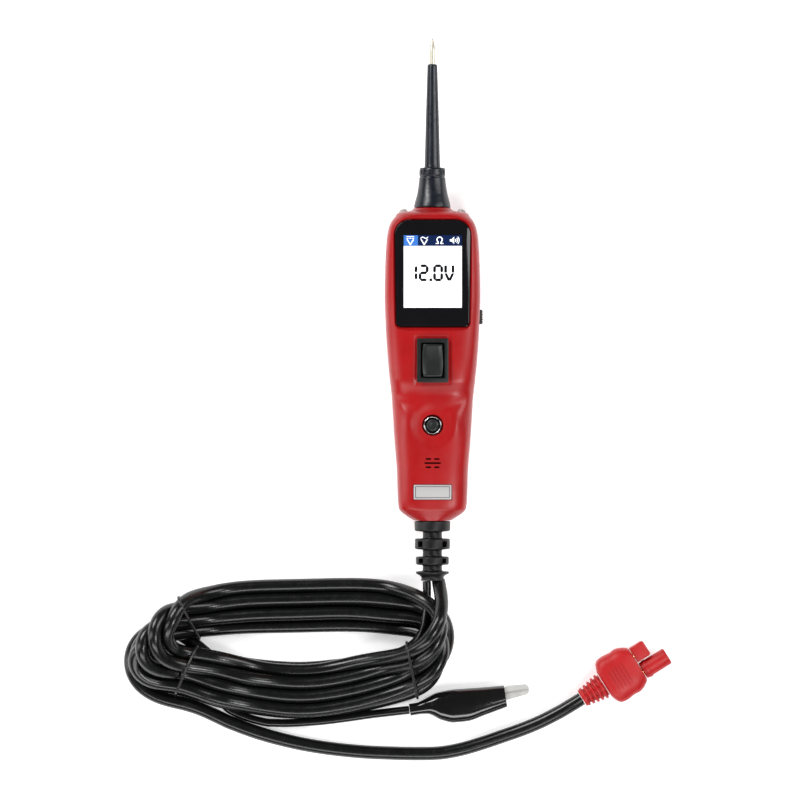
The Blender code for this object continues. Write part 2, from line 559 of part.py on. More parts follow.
def jaw(name, side, half_height, back, handle, place):
    """A stamped jaw: a channel with its web outside, teeth in front of the pin and a handle behind it."""
    px, py = place
    meet = JAW_LINE + side * GAP / 2
    front = [(JAW_TIP, meet + side * 1.0), (JAW_TIP, meet - TOOTH_DEPTH)]
    front += [(x, meet + t) for x, t in tooth_line]
    outline = front + [(44.5, meet), (44.0, -side * 1.2), (39.0, -side * 1.2)] + handle + back
    outline = [(x - px, y - py) for x, y in outline]
    return add(name, prism(name, outline, -half_height, half_height), STEEL, (px, py, 0), parent=clip)


upper_back = [(19.0, 4.6), (30.0, 4.3), (38.0, 3.5), (46.6, 3.2), (48.0, 4.1), (56.8, 3.5)]
upper_handle = [(33.0, 2.0), (19.0, 3.6)]
lower_back = [(19.0, -7.4), (26.0, -7.9), (36.0, -5.4), (47.0, -2.5), (56.8, -1.4)]
lower_handle = [(33.0, -4.0), (26.0, -6.8), (19.0, -6.3)]
upper = jaw("clip_upper_jaw", 1, 3.0, upper_back, upper_handle, CLIP_PIN)
lower = jaw("clip_lower_jaw", -1, 2.0, lower_back, lower_handle, (0, 0))
channel = block("channel", (-30, -8, -2.3), (3.6, 2.9, 2.3))
boolean(upper, add("upper_channel", channel, None, (*CLIP_PIN, 0), parent=clip))
mouth = prism("mouth", [(3.5, -4), (3.5, 2.9), (16, 2.2), (16, -4)], -2.3, 2.3)
boolean(upper, add("upper_mouth", mouth, None, (*CLIP_PIN, 0), parent=clip))
channel_side = [(16, 6), (16, -7.2), (26, -7.4), (36, -4.6), (47, -1.6), (56.9, -0.6), (56.9, 6)]
channel = prism("channel", channel_side, -1.4, 1.4)
boolean(lower, add("lower_channel", channel, None, parent=clip))
for half in (upper, lower):
    pin_way = turned("pin_way", [(PIN_BORE, -8), (PIN_BORE, 8)], 16)
    boolean(half, add(half.name + "_pin_way", pin_way, None, (*CLIP_PIN, 0), parent=clip))
add("clip_pin", turned("clip_pin", [(1.2, -3.5), (1.2, 3.5)], 14), STEEL, (*CLIP_PIN, 0), parent=clip)
spring = [(1.5, -1.3), (2.0, -1.3), (2.0, 1.3), (1.5, 1.3)]
add("clip_spring", turned("clip_spring", spring, 14, hollow=True), STEEL, (*CLIP_PIN, 0), parent=clip)
crimp = [(1.0, 0.7), (1.9, 0.7), (1.9, 9.0), (1.0, 9.0)]
along_x = (0, math.pi / 2, 0)
add("clip_crimp", turned("clip_crimp", crimp, 14, hollow=True), STEEL, (0, 0, 0), along_x, parent=clip)

# ---------------------------------------------------------------- supply plug
plug = frame_empty("plug_frame", PLUG_PLACE, PLUG_ANGLE)


def plug_loop(x, half, height):
    corners = []
    for i in range(24):
        a = math.tau * (i + 0.5) / 24
        c, s = math.cos(a), math.sin(a)
        across = half * math.copysign(abs(c) ** 0.62, c)
        corners.append((x, across, height * math.copysign(abs(s) ** 0.62, s)))
    return corners


body = add("plug_body", loft("plug_body", [plug_loop(*s) for s in PLUG_SECTIONS]), RED_RUBBER, parent=plug)
for name, y in (("round_way", ROUND_POLE_Y), ("square_way", SQUARE_POLE_Y)):
    way = turned(name, [(PLUG_BORE, 20), (PLUG_BORE, 40)], 16)
    boolean(body, add(name, way, None, (0, y, 0), along_x, plug))
ribs = [(4.3, 0.0)]
for i in range(5):
    x, radius = 1.0 + 2.3 * i, 4.5 + 0.42 * i
    ribs += [(radius, x), (radius + 0.25, x + 1.3), (radius - 0.5, x + 1.5), (radius - 0.4, x + 2.0)]
ribs += [(6.3, 12.6 - GAP)]
add("plug_strain_relief", turned("plug_strain_relief", ribs, 20), RED_RUBBER, (0, 0, 0), along_x, plug)
sleeve = [(PLUG_BORE, 31.8), (4.2, 31.8), (4.2, 45.2), (3.8, 45.7), (PLUG_BORE, 45.7)]
sleeve = turned("sleeve", sleeve, 20, hollow=True)
add("plug_round_shroud", sleeve, RED_RUBBER, (0, ROUND_POLE_Y, 0), along_x, plug)
square = block("square", (31.8, -3.9, -4.0), (39.3, 3.9, 4.0))
shroud = add("plug_square_shroud", square, RED_RUBBER, (0, SQUARE_POLE_Y, 0), parent=plug)
bore = turned("bore", [(PLUG_BORE, 20), (PLUG_BORE, 60)], 16)
boolean(shroud, add("square_bore", bore, None, (0, SQUARE_POLE_Y, 0), along_x, plug))
contacts = (("plug_round_contact", ROUND_POLE_Y, 43.5), ("plug_square_contact", SQUARE_POLE_Y, 37.5))
for name, y, end in contacts:
    contact = [(1.2, 20.4), (2.0, 20.4), (2.0, end), (1.2, end)]
    add(name, turned(name, contact, 14, hollow=True), BRASS, (0, y, 0), along_x, plug)
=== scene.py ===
"""Powered circuit tester with its coiled supply cable, plug and ground clip: the visual model.

The row frame has its origin at the centre of the tester's flat back, X across, the probe along +Y and the
screen facing +Z. Numbers are millimetres unless a name says otherwise; MM turns them into metres.
"""

import json
import math

import bmesh
import bpy
import numpy as np
from mathutils import Matrix, Vector

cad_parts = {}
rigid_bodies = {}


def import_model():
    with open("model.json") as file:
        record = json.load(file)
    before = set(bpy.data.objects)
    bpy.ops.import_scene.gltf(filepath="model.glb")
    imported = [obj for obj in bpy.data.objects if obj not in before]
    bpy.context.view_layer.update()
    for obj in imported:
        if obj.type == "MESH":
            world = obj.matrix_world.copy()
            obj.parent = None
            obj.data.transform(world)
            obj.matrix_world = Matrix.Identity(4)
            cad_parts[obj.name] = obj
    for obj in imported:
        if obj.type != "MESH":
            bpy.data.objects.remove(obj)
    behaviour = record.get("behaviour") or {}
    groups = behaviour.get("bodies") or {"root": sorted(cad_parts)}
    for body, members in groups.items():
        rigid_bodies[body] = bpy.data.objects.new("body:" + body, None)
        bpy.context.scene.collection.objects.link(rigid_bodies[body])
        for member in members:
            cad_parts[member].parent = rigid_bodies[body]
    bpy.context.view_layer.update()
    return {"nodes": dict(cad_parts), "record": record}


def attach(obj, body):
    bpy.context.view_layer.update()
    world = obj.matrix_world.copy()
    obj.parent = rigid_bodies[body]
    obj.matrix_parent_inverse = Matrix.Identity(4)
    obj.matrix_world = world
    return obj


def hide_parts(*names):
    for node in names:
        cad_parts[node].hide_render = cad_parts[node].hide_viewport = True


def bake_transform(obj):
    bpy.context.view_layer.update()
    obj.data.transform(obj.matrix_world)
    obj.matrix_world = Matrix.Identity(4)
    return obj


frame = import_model()
MM = 0.001
ROOT = "tester"

# ---------------------------------------------------------------- camera, floor and lights
FIELD = 384.0  # width of the floor that the camera sees
AIM = (-15.5, -16.8, 10.0)
DISTANCE = 2200.0  # height of the camera above its aim
SENSOR = 36.0
WORLD_STRENGTH = 0.09
LAMP_AIM = (0, -40, 0)
FLOOR_REACH = 4  # metres from the middle of the floor to its sides
FLOOR_DROP = 0.0003  # metres that the floor lies below the part
camera_data = bpy.data.cameras.new("camera")
camera_data.sensor_width = SENSOR
camera_data.lens = SENSOR * DISTANCE / FIELD
camera_data.clip_end = 20.0
camera = bpy.data.objects.new("camera", camera_data)
camera.location = Vector((AIM[0], AIM[1], AIM[2] + DISTANCE)) * MM
bpy.context.collection.objects.link(camera)
bpy.context.scene.camera = camera
bpy.context.scene.view_settings.view_transform = "Standard"

world = bpy.data.worlds.new("studio")
bpy.context.scene.world = world
world.use_nodes = True
backdrop = world.node_tree.nodes["Background"]
backdrop.inputs["Color"].default_value = (1.0, 1.0, 1.0, 1.0)
backdrop.inputs["Strength"].default_value = WORLD_STRENGTH


def soft_light(name, place, size, power):
    """A rectangular lamp aimed at the middle of the part; its power is in watts."""
    data = bpy.data.lights.new(name, "AREA")
    data.shape = "RECTANGLE"
    data.size, data.size_y = size[0] * MM, size[1] * MM
    data.energy = power
    made = bpy.data.objects.new(name, data)
    made.location = Vector(place) * MM
    made.rotation_euler = (Vector(LAMP_AIM) - Vector(place)).to_track_quat("-Z", "Y").to_euler()
    bpy.context.collection.objects.link(made)


soft_light("key", (-560, 520, 640), (520, 300), 6.6)
soft_light("fill", (700, 200, 700), (400, 800), 5.0)
soft_light("front", (-150, -860, 620), (1000, 260), 4.6)
soft_light("rim", (-900, -200, 500), (300, 900), 3.0)
soft_light("crest", (290, -400, 760), (170, 170), 2.2)

floor_mesh = bpy.data.meshes.new("floor")
floor_corners = [(x * FLOOR_REACH, y * FLOOR_REACH, 0) for x, y in ((-1, -1), (1, -1), (1, 1), (-1, 1))]
floor_mesh.from_pydata(floor_corners, [], [(0, 1, 2, 3)])
floor = bpy.data.objects.new("floor", floor_mesh)
floor.location.z = -FLOOR_DROP
bpy.context.collection.objects.link(floor)


# ---------------------------------------------------------------- materials
NOISE_LOW, NOISE_HIGH = 0.3, 0.7  # most of a noise texture's values lie between these


def shaded(name, colour, roughness, metallic=0.0, **sockets):
    """A new material with the values that hold over the whole surface set on its shader."""
    made = bpy.data.materials.new(name)
    made.use_nodes = True
    shader = made.node_tree.nodes["Principled BSDF"]
    shader.inputs["Base Color"].default_value = (*colour, 1.0)
    shader.inputs["Roughness"].default_value = roughness
    shader.inputs["Metallic"].default_value = metallic
    for socket, value in sockets.items():
        shader.inputs[socket.replace("_", " ")].default_value = value
    return made


def noise_of(made, scale, detail=3.0, stretch=(1, 1, 1)):
    """A noise texture in object coordinates, in cycles per metre."""
    tree = made.node_tree
    where = tree.nodes.new("ShaderNodeTexCoord")
    place = tree.nodes.new("ShaderNodeMapping")
    place.inputs["Scale"].default_value = stretch
    noise = tree.nodes.new("ShaderNodeTexNoise")
    noise.inputs["Scale"].default_value = scale
    noise.inputs["Detail"].default_value = detail
    tree.links.new(where.outputs["Object"], place.inputs["Vector"])
    tree.links.new(place.outputs["Vector"], noise.inputs["Vector"])
    return noise.outputs["Fac"]


def ranged(made, value, low, high):
    """A noise value spread over a range."""
    node = made.node_tree.nodes.new("ShaderNodeMapRange")
    node.inputs["From Min"].default_value = NOISE_LOW
    node.inputs["From Max"].default_value = NOISE_HIGH
    node.inputs["To Min"].default_value = low
    node.inputs["To Max"].default_value = high
    made.node_tree.links.new(value, node.inputs["Value"])
    return node.outputs["Result"]


def tinted(made, value, low, high):
    """A colour that runs from one to another with a noise value."""
    node = made.node_tree.nodes.new("ShaderNodeMix")
    node.data_type = "RGBA"
    node.inputs["A"].default_value = (*low, 1.0)
    node.inputs["B"].default_value = (*high, 1.0)
    made.node_tree.links.new(ranged(made, value, 0.0, 1.0), node.inputs["Factor"])
    return node.outputs["Result"]


def bumped(made, height, distance):
    """Bump from a height value; distance is in metres."""
    node = made.node_tree.nodes.new("ShaderNodeBump")
    node.inputs["Distance"].default_value = distance
    node.inputs["Strength"].default_value = 1.0
    made.node_tree.links.new(height, node.inputs["Height"])
    return node.outputs["Normal"]


def finish_of(name, dark, light, rough, grain, depth, metallic=0.0, patch=60.0, stretch=(1, 1, 1),
              **sockets):
    """A moulded or metal finish: colour and roughness that drift, and a fine grain in relief.

    `dark` and `light` are linear colours, `grain` and `patch` are cycles per metre and `depth` is metres.
    """
    made = shaded(name, dark, rough[0], metallic, **sockets)
    tree = made.node_tree
    shader = tree.nodes["Principled BSDF"]
    drift = noise_of(made, patch, 4.0, stretch)
    tree.links.new(tinted(made, drift, dark, light), shader.inputs["Base Color"])
    mottle = noise_of(made, patch * 5, 3.0, stretch)
    tree.links.new(ranged(made, mottle, *rough), shader.inputs["Roughness"])
    fine = noise_of(made, grain, 2.0, stretch)
    tree.links.new(bumped(made, fine, depth), shader.inputs["Normal"])
    return made


FLOOR_LOOK = finish_of("floor_paper", (0.93, 0.93, 0.93), (0.95, 0.95, 0.95), (0.85, 0.95), 900, 0.00002,
                       Emission_Color=(1.0, 1.0, 1.0, 1.0), Emission_Strength=0.42)
floor_mesh.materials.append(FLOOR_LOOK)
RED_SHELL = finish_of("red_moulding", (0.33, 0.0028, 0.0040), (0.38, 0.0036, 0.0050), (0.32, 0.39), 1300,
                      0.000003, Specular_IOR_Level=0.38, Coat_Weight=0.08, Coat_Roughness=0.25)
RED_RUBBER = finish_of("red_rubber", (0.40, 0.004, 0.006), (0.48, 0.006, 0.008), (0.40, 0.50), 1500,
                       0.000010, Specular_IOR_Level=0.4)
RED_WIRE = finish_of("red_wire", (0.50, 0.02, 0.02), (0.60, 0.03, 0.03), (0.35, 0.45), 1500, 0.00001)
BLACK_PLASTIC = finish_of("black_plastic", (0.008, 0.008, 0.009), (0.013, 0.013, 0.014), (0.34, 0.44), 1400,
                          0.000006)
SWITCH_PLASTIC = finish_of("switch_plastic", (0.0065, 0.0085, 0.0080), (0.0100, 0.0125, 0.0120),
                           (0.34, 0.44), 1500, 0.000008, Specular_IOR_Level=0.4)
BLUE_BLACK = finish_of("probe_plastic", (0.0045, 0.0065, 0.0120), (0.0075, 0.0105, 0.0180), (0.26, 0.36),
                       1300, 0.000004, Specular_IOR_Level=0.45)
BLACK_RUBBER = finish_of("black_rubber", (0.0035, 0.0035, 0.0040), (0.0060, 0.0060, 0.0068), (0.38, 0.48),
                         1400, 0.000008, Specular_IOR_Level=0.38)
JACKET = finish_of("cable_jacket", (0.0020, 0.0024, 0.0022), (0.0036, 0.0042, 0.0038), (0.21, 0.29), 900,
                   0.000004, Specular_IOR_Level=0.48)
LEAD_JACKET = finish_of("lead_jacket", (0.0022, 0.0024, 0.0023), (0.0040, 0.0042, 0.0040), (0.17, 0.25),
                        900, 0.000003, Specular_IOR_Level=0.5)
GLOSSY_VINYL = finish_of("glossy_vinyl", (0.0025, 0.0025, 0.0025), (0.0045, 0.0045, 0.0045), (0.12, 0.17),
                         300, 0.000012, Coat_Weight=0.6, Coat_Roughness=0.05)
STEEL = finish_of("steel", (0.62, 0.62, 0.60), (0.72, 0.71, 0.68), (0.28, 0.38), 900, 0.000006, 0.55)
PROBE_STEEL = finish_of("probe_steel", (0.60, 0.57, 0.46), (0.70, 0.67, 0.56), (0.26, 0.36), 900, 0.000006,
                        0.5)
BRASS = finish_of("brass", (0.70, 0.48, 0.20), (0.82, 0.60, 0.30), (0.24, 0.36), 900, 0.000006, 1.0)
BRUSHED = finish_of("brushed_aluminium", (0.46, 0.44, 0.44), (0.58, 0.56, 0.56), (0.34, 0.46), 1500,
                    0.000006, 0.40, stretch=(0.06, 1, 1))
BOARD_GREEN = finish_of("board_green", (0.010, 0.10, 0.035), (0.016, 0.15, 0.05), (0.30, 0.42), 900,
                        0.00001)
LENS = finish_of("lens", (0.80, 0.74, 0.74), (0.86, 0.80, 0.80), (0.05, 0.09), 400, 0.000004,
                 Transmission_Weight=0.55, IOR=1.49)
TIE_WIRE = finish_of("tie_wire", (0.010, 0.010, 0.010), (0.018, 0.018, 0.018), (0.22, 0.32), 1500, 0.00001)


# ---------------------------------------------------------------- mesh helpers
def piece_of(name, mesh, look, body=ROOT, smooth=True, sharp=35.0):
    """A mesh in millimetres of the row frame, as a piece that rides on a body."""
    mesh.transform(Matrix.Scale(MM, 4))
    if smooth:
        mesh.shade_smooth()
        mesh.set_sharp_from_angle(angle=math.radians(sharp))
    made = bpy.data.objects.new(name, mesh)
    bpy.context.collection.objects.link(made)
    mesh.materials.append(look)
    if body:
        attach(made, body)
    return made


def mesh_of(name, corners, faces):
    """A mesh from corners and faces, with its normals turned outward."""
    mesh = bpy.data.meshes.new(name)
    mesh.from_pydata([tuple(c) for c in corners], [], faces)
    bm = bmesh.new()
    bm.from_mesh(mesh)
    bmesh.ops.recalc_face_normals(bm, faces=bm.faces)
    bm.to_mesh(mesh)
    bm.free()
    return mesh


def loft(name, loops, wrap=False):
    """A closed skin over loops of equally many corners: capped at both ends, or wrapped into a ring."""
    count = len(loops[0])
    corners = [corner for row in loops for corner in row]
    faces = []
    rows = len(loops)
    for r in range(rows if wrap else rows - 1):
        low, high = r * count, (r + 1) % rows * count
        for i in range(count):
            j = (i + 1) % count
            faces.append((low + i, low + j, high + j, high + i))
    if not wrap:
        faces += [tuple(range(count)), tuple(range((rows - 1) * count, rows * count))]
    return mesh_of(name, corners, faces)


def placed(mesh, place=(0, 0, 0), turn=None):
    """The mesh moved by a rotation and then a place."""
    where = Matrix.Translation(place)
    mesh.transform(where @ turn.to_4x4() if turn else where)
    return mesh


def dense_profile(points, soften):
    """A turned profile with its corners rounded by short curves that begin `soften` from the corner."""
    result = []
    count = len(points)
    for i, (radius, z) in enumerate(points):
        here = Vector((radius, z))
        if i in (0, count - 1) or soften == 0:
            result.append((radius, z))
            continue
        back = Vector(points[i - 1]) - here
        ahead = Vector(points[i + 1]) - here
        trim = min(soften, back.length * 0.45, ahead.length * 0.45)
        first, last = here + back.normalized() * trim, here + ahead.normalized() * trim
        for t in (0.0, 0.25, 0.5, 0.75, 1.0):
            point = first * (1 - t) ** 2 + here * 2 * t * (1 - t) + last * t**2
            result.append((point.x, point.y))
    return result


def turned(name, profile, sides=64, wrap=False, soften=0.25):
    """A piece turned about Z from a profile of radius and z."""
    rounded = dense_profile(profile, soften)
    turns = [math.tau * i / sides for i in range(sides)]
    loops = [[(max(r, 0.01) * math.cos(a), max(r, 0.01) * math.sin(a), z) for a in turns]
             for r, z in rounded]
    return loft(name, loops, wrap)


def rounded_box(name, low, high, radius=0.4, steps=3):
    """A box between two opposite corners, with its edges rounded."""
    mesh = bpy.data.meshes.new(name)
    bm = bmesh.new()
    bmesh.ops.create_cube(bm, size=1)
    size = [h - l for l, h in zip(low, high)]
    middle = [(h + l) / 2 for l, h in zip(low, high)]
    bmesh.ops.scale(bm, vec=size, verts=bm.verts)
    bmesh.ops.translate(bm, vec=middle, verts=bm.verts)
    bmesh.ops.bevel(bm, geom=bm.edges[:], offset=radius, segments=steps, profile=0.5, affect="EDGES")
    bm.to_mesh(mesh)
    bm.free()
    return mesh


def joined_mesh(name, meshes):
    """Several meshes as one."""
    bm = bmesh.new()
    for mesh in meshes:
        bm.from_mesh(mesh)
    made = bpy.data.meshes.new(name)
    bm.to_mesh(made)
    bm.free()
    return made


def cut(target, tools):
    """Cuts tool meshes in millimetres out of a piece, for good."""
    for i, tool in enumerate(tools):
        tool.transform(Matrix.Scale(MM, 4))
        guide = bpy.data.objects.new(f"guide_{i}", tool)
        bpy.context.collection.objects.link(guide)
        change = target.modifiers.new("cut", "BOOLEAN")
        change.operation = "DIFFERENCE"
        change.solver = "EXACT"
        change.object = guide
    bpy.context.view_layer.update()
    done = bpy.data.meshes.new_from_object(target.evaluated_get(bpy.context.evaluated_depsgraph_get()))
    target.modifiers.clear()
    target.data = done
    for i in range(len(tools)):
        bpy.data.objects.remove(bpy.data.objects[f"guide_{i}"])
    done.shade_smooth()
    done.set_sharp_from_angle(angle=math.radians(32))


# ---------------------------------------------------------------- cords: the routes
CABLE_D = 6.5
LEAD_D = 4.0
# The fixed ends of both cords, from the strain relief and to the plug or the clip
CABLE_IN = [(2.9, -103.5, 16.5), (3.3, -108, 16.6), (4.4, -114, 16.9), (5.2, -119.2, 17.0)]
LEAD_IN = [(-2.7, -103.5, 16.5), (-2.3, -108, 16.6), (-1.8, -112, 16.8), (-1.5, -115.4, 16.9)]
CABLE_OUT = [
    (-98, -171.8, 3.3), (-88, -175.6, 3.3), (-77, -179.0, 3.3), (-63.5, -182.2, 3.3), (-49.6, -184.5, 3.3),
    (-34, -186.1, 3.3), (-18.9, -186.8, 3.3), (-7.5, -187.0, 3.3), (3.7, -186.7, 3.3), (14, -184.9, 3.3),
    (24, -182.0, 3.3), (34, -178.6, 3.5), (43, -175.4, 4.1), (52, -171.6, 5.2), (61, -166.9, 6.5),
    (66.5, -163.6, 7.2), (71.75, -160.35, 7.5),
]
LEAD_OUT = [
    (-79, -172.2, 2.05), (-70, -172.4, 2.05), (-60, -171.9, 2.05), (-50, -171.0, 2.05), (-40, -169.7, 2.3),
    (-30, -168.2, 3.2), (-20, -166.9, 4.7), (-11.1, -165.85, 5.4),
]
# Where the ties pass under the coil: the cords rest a little higher there
TIE_SPANS = [((-109.0, -134.4), (-122.6, -107.6)), ((-109.0, -137.0), (-125.4, -164.4)),
             ((-18.0, -136.6), (-10.2, -160.5))]
# Lanes of the wound bundle: y at each x, for the lane at the hole side in front (0) and three lanes out (3)
FRONT_X = [-10.0, -33.0, -63.5, -96.5, -116.0]
FRONT_0 = [-137.2, -143.4, -147.0, -144.2, -139.0]
FRONT_3 = [-153.8, -161.0, -165.2, -161.0, -154.6]
BACK_X = [-118.0, -96.0, -63.5, -33.0, -10.0]
BACK_0 = [-112.2, -108.6, -107.2, -107.0, -109.6]
BACK_3 = [-129.0, -124.6, -123.6, -123.2, -127.2]
# Each turn: its front lane, its leftmost points, its back lane and its points round the right end
TURNS = [
    (0.0, [(-127.5, -133.6), (-133.0, -126.0), (-128.5, -118.0)], 0.0,
     [(0.5, -114.5), (6.2, -124.5), (3.4, -134.0)]),
    (1.0, [(-131.5, -138.0), (-138.0, -129.0), (-133.0, -121.2)], 1.0,
     [(0.0, -120.0), (6.3, -130.0), (2.2, -140.4)]),
    (2.0, [(-135.5, -143.2), (-142.6, -133.6), (-136.5, -125.4)], 2.0,
     [(-1.0, -124.5), (5.6, -134.8), (0.8, -146.4)]),
    (3.0, [(-138.0, -149.6), (-145.6, -140.4), (-138.5, -130.6)], 3.0,
     [(-2.0, -128.0), (4.0, -138.6), (-0.6, -150.4)]),
    (3.3, [(-136.5, -152.6), (-144.0, -144.6), (-138.5, -133.0)], 0.5,
     [(-1.0, -117.5), (4.4, -129.5), (0.6, -142.0)]),
    (2.25, [(-131.5, -147.0), (-138.5, -137.0), (-132.5, -125.0)], 1.55,
     [(-2.0, -122.0), (3.2, -131.5), (-1.0, -140.6)]),
]
# The cable's way from its last turn back to its way out
LAST_PASS = [(-10.0, -144.0), (-33.0, -150.4), (-63.5, -154.2), (-88.0, -150.6), (-104.0, -143.0),
             (-116.0, -133.0), (-128.0, -126.6), (-140.0, -130.0), (-145.6, -142.0), (-140.0, -154.0),
             (-125.0, -160.4), (-110.0, -166.0)]
# The lead's way through the coil, between its fixed ends
LEAD_PLAN = [(-1.6, -121.0), (-4.6, -128.6), (-12.0, -136.2), (-33.0, -142.0), (-63.5, -145.2),
             (-96.0, -142.2), (-112.0, -139.6), (-124.0, -138.0), (-132.5, -131.0), (-127.0, -123.4),
             (-114.0, -122.4), (-96.0, -120.8), (-63.5, -120.6), (-33.0, -120.2), (-12.0, -122.6),
             (-2.0, -128.5), (-3.0, -137.0), (-14.0, -143.0), (-33.0, -146.4), (-63.5, -149.2),
             (-84.0, -148.6), (-96.5, -151.4), (-102.5, -159.4), (-99.0, -167.6), (-89.0, -171.4)]
NODE_STEP = 3.6  # spacing of the relaxed points
ROUNDS = 1000
RISE = 7  # points over which a cord climbs from its sleeve on to the coil
TIGHTEST = 2.5  # bend radius in diameters that the jackets resist
TURN_LEVEL = 7.0  # height between one turn and the next before they settle
NEAR = 9.5  # points nearer than this may touch
CLEARANCE = 1.015  # distance kept between touching cords, over the sum of their radii
SPLINE_STEPS = 16
TIE_LIFT = 1.3  # how much higher the cords rest over a tie


def spline(points, step):
    """Points `step` apart on a Catmull-Rom curve through the given points."""
    p = [np.array(q, float) for q in points]
    p = [2 * p[0] - p[1]] + p + [2 * p[-1] - p[-2]]
    dense = []
    t = np.linspace(0, 1, SPLINE_STEPS, endpoint=False)[:, None]
    for a, b, c, d in zip(p, p[1:], p[2:], p[3:]):
        cubic = 2 * b + (c - a) * t + (2 * a - 5 * b + 4 * c - d) * t**2 + (3 * b - a - 3 * c + d) * t**3
        dense.append(0.5 * cubic)
    dense = np.concatenate([*dense, p[-2][None]])
    run = np.concatenate([[0], np.cumsum(np.linalg.norm(np.diff(dense, axis=0), axis=1))])
    at = np.linspace(0, run[-1], max(2, round(run[-1] / step) + 1))
    return np.column_stack([np.interp(at, run, dense[:, k]) for k in range(dense.shape[1])])


def lane(table_x, first, last, at, u):
    """Points of a lane of the bundle, u lanes out from the first."""
    order = np.argsort(table_x)
    xs = np.array(table_x)[order]
    low, high = np.array(first)[order], np.array(last)[order]
    return [(x, float(np.interp(x, xs, low) * (1 - u / 3) + np.interp(x, xs, high) * u / 3)) for x in at]


def cable_plan():
    """The supply cable's plan: its turns clockwise from the tester, then its last pass and its way out."""
    route = [p[:2] for p in CABLE_IN] + [(6.0, -123.0), (3.0, -129.6), (-2.6, -133.8)]
    for front, left, back, right in TURNS:
        route += lane(FRONT_X, FRONT_0, FRONT_3, FRONT_X, front) + left
        route += lane(BACK_X, BACK_0, BACK_3, BACK_X, back) + right
    return route + LAST_PASS + [p[:2] for p in CABLE_OUT]


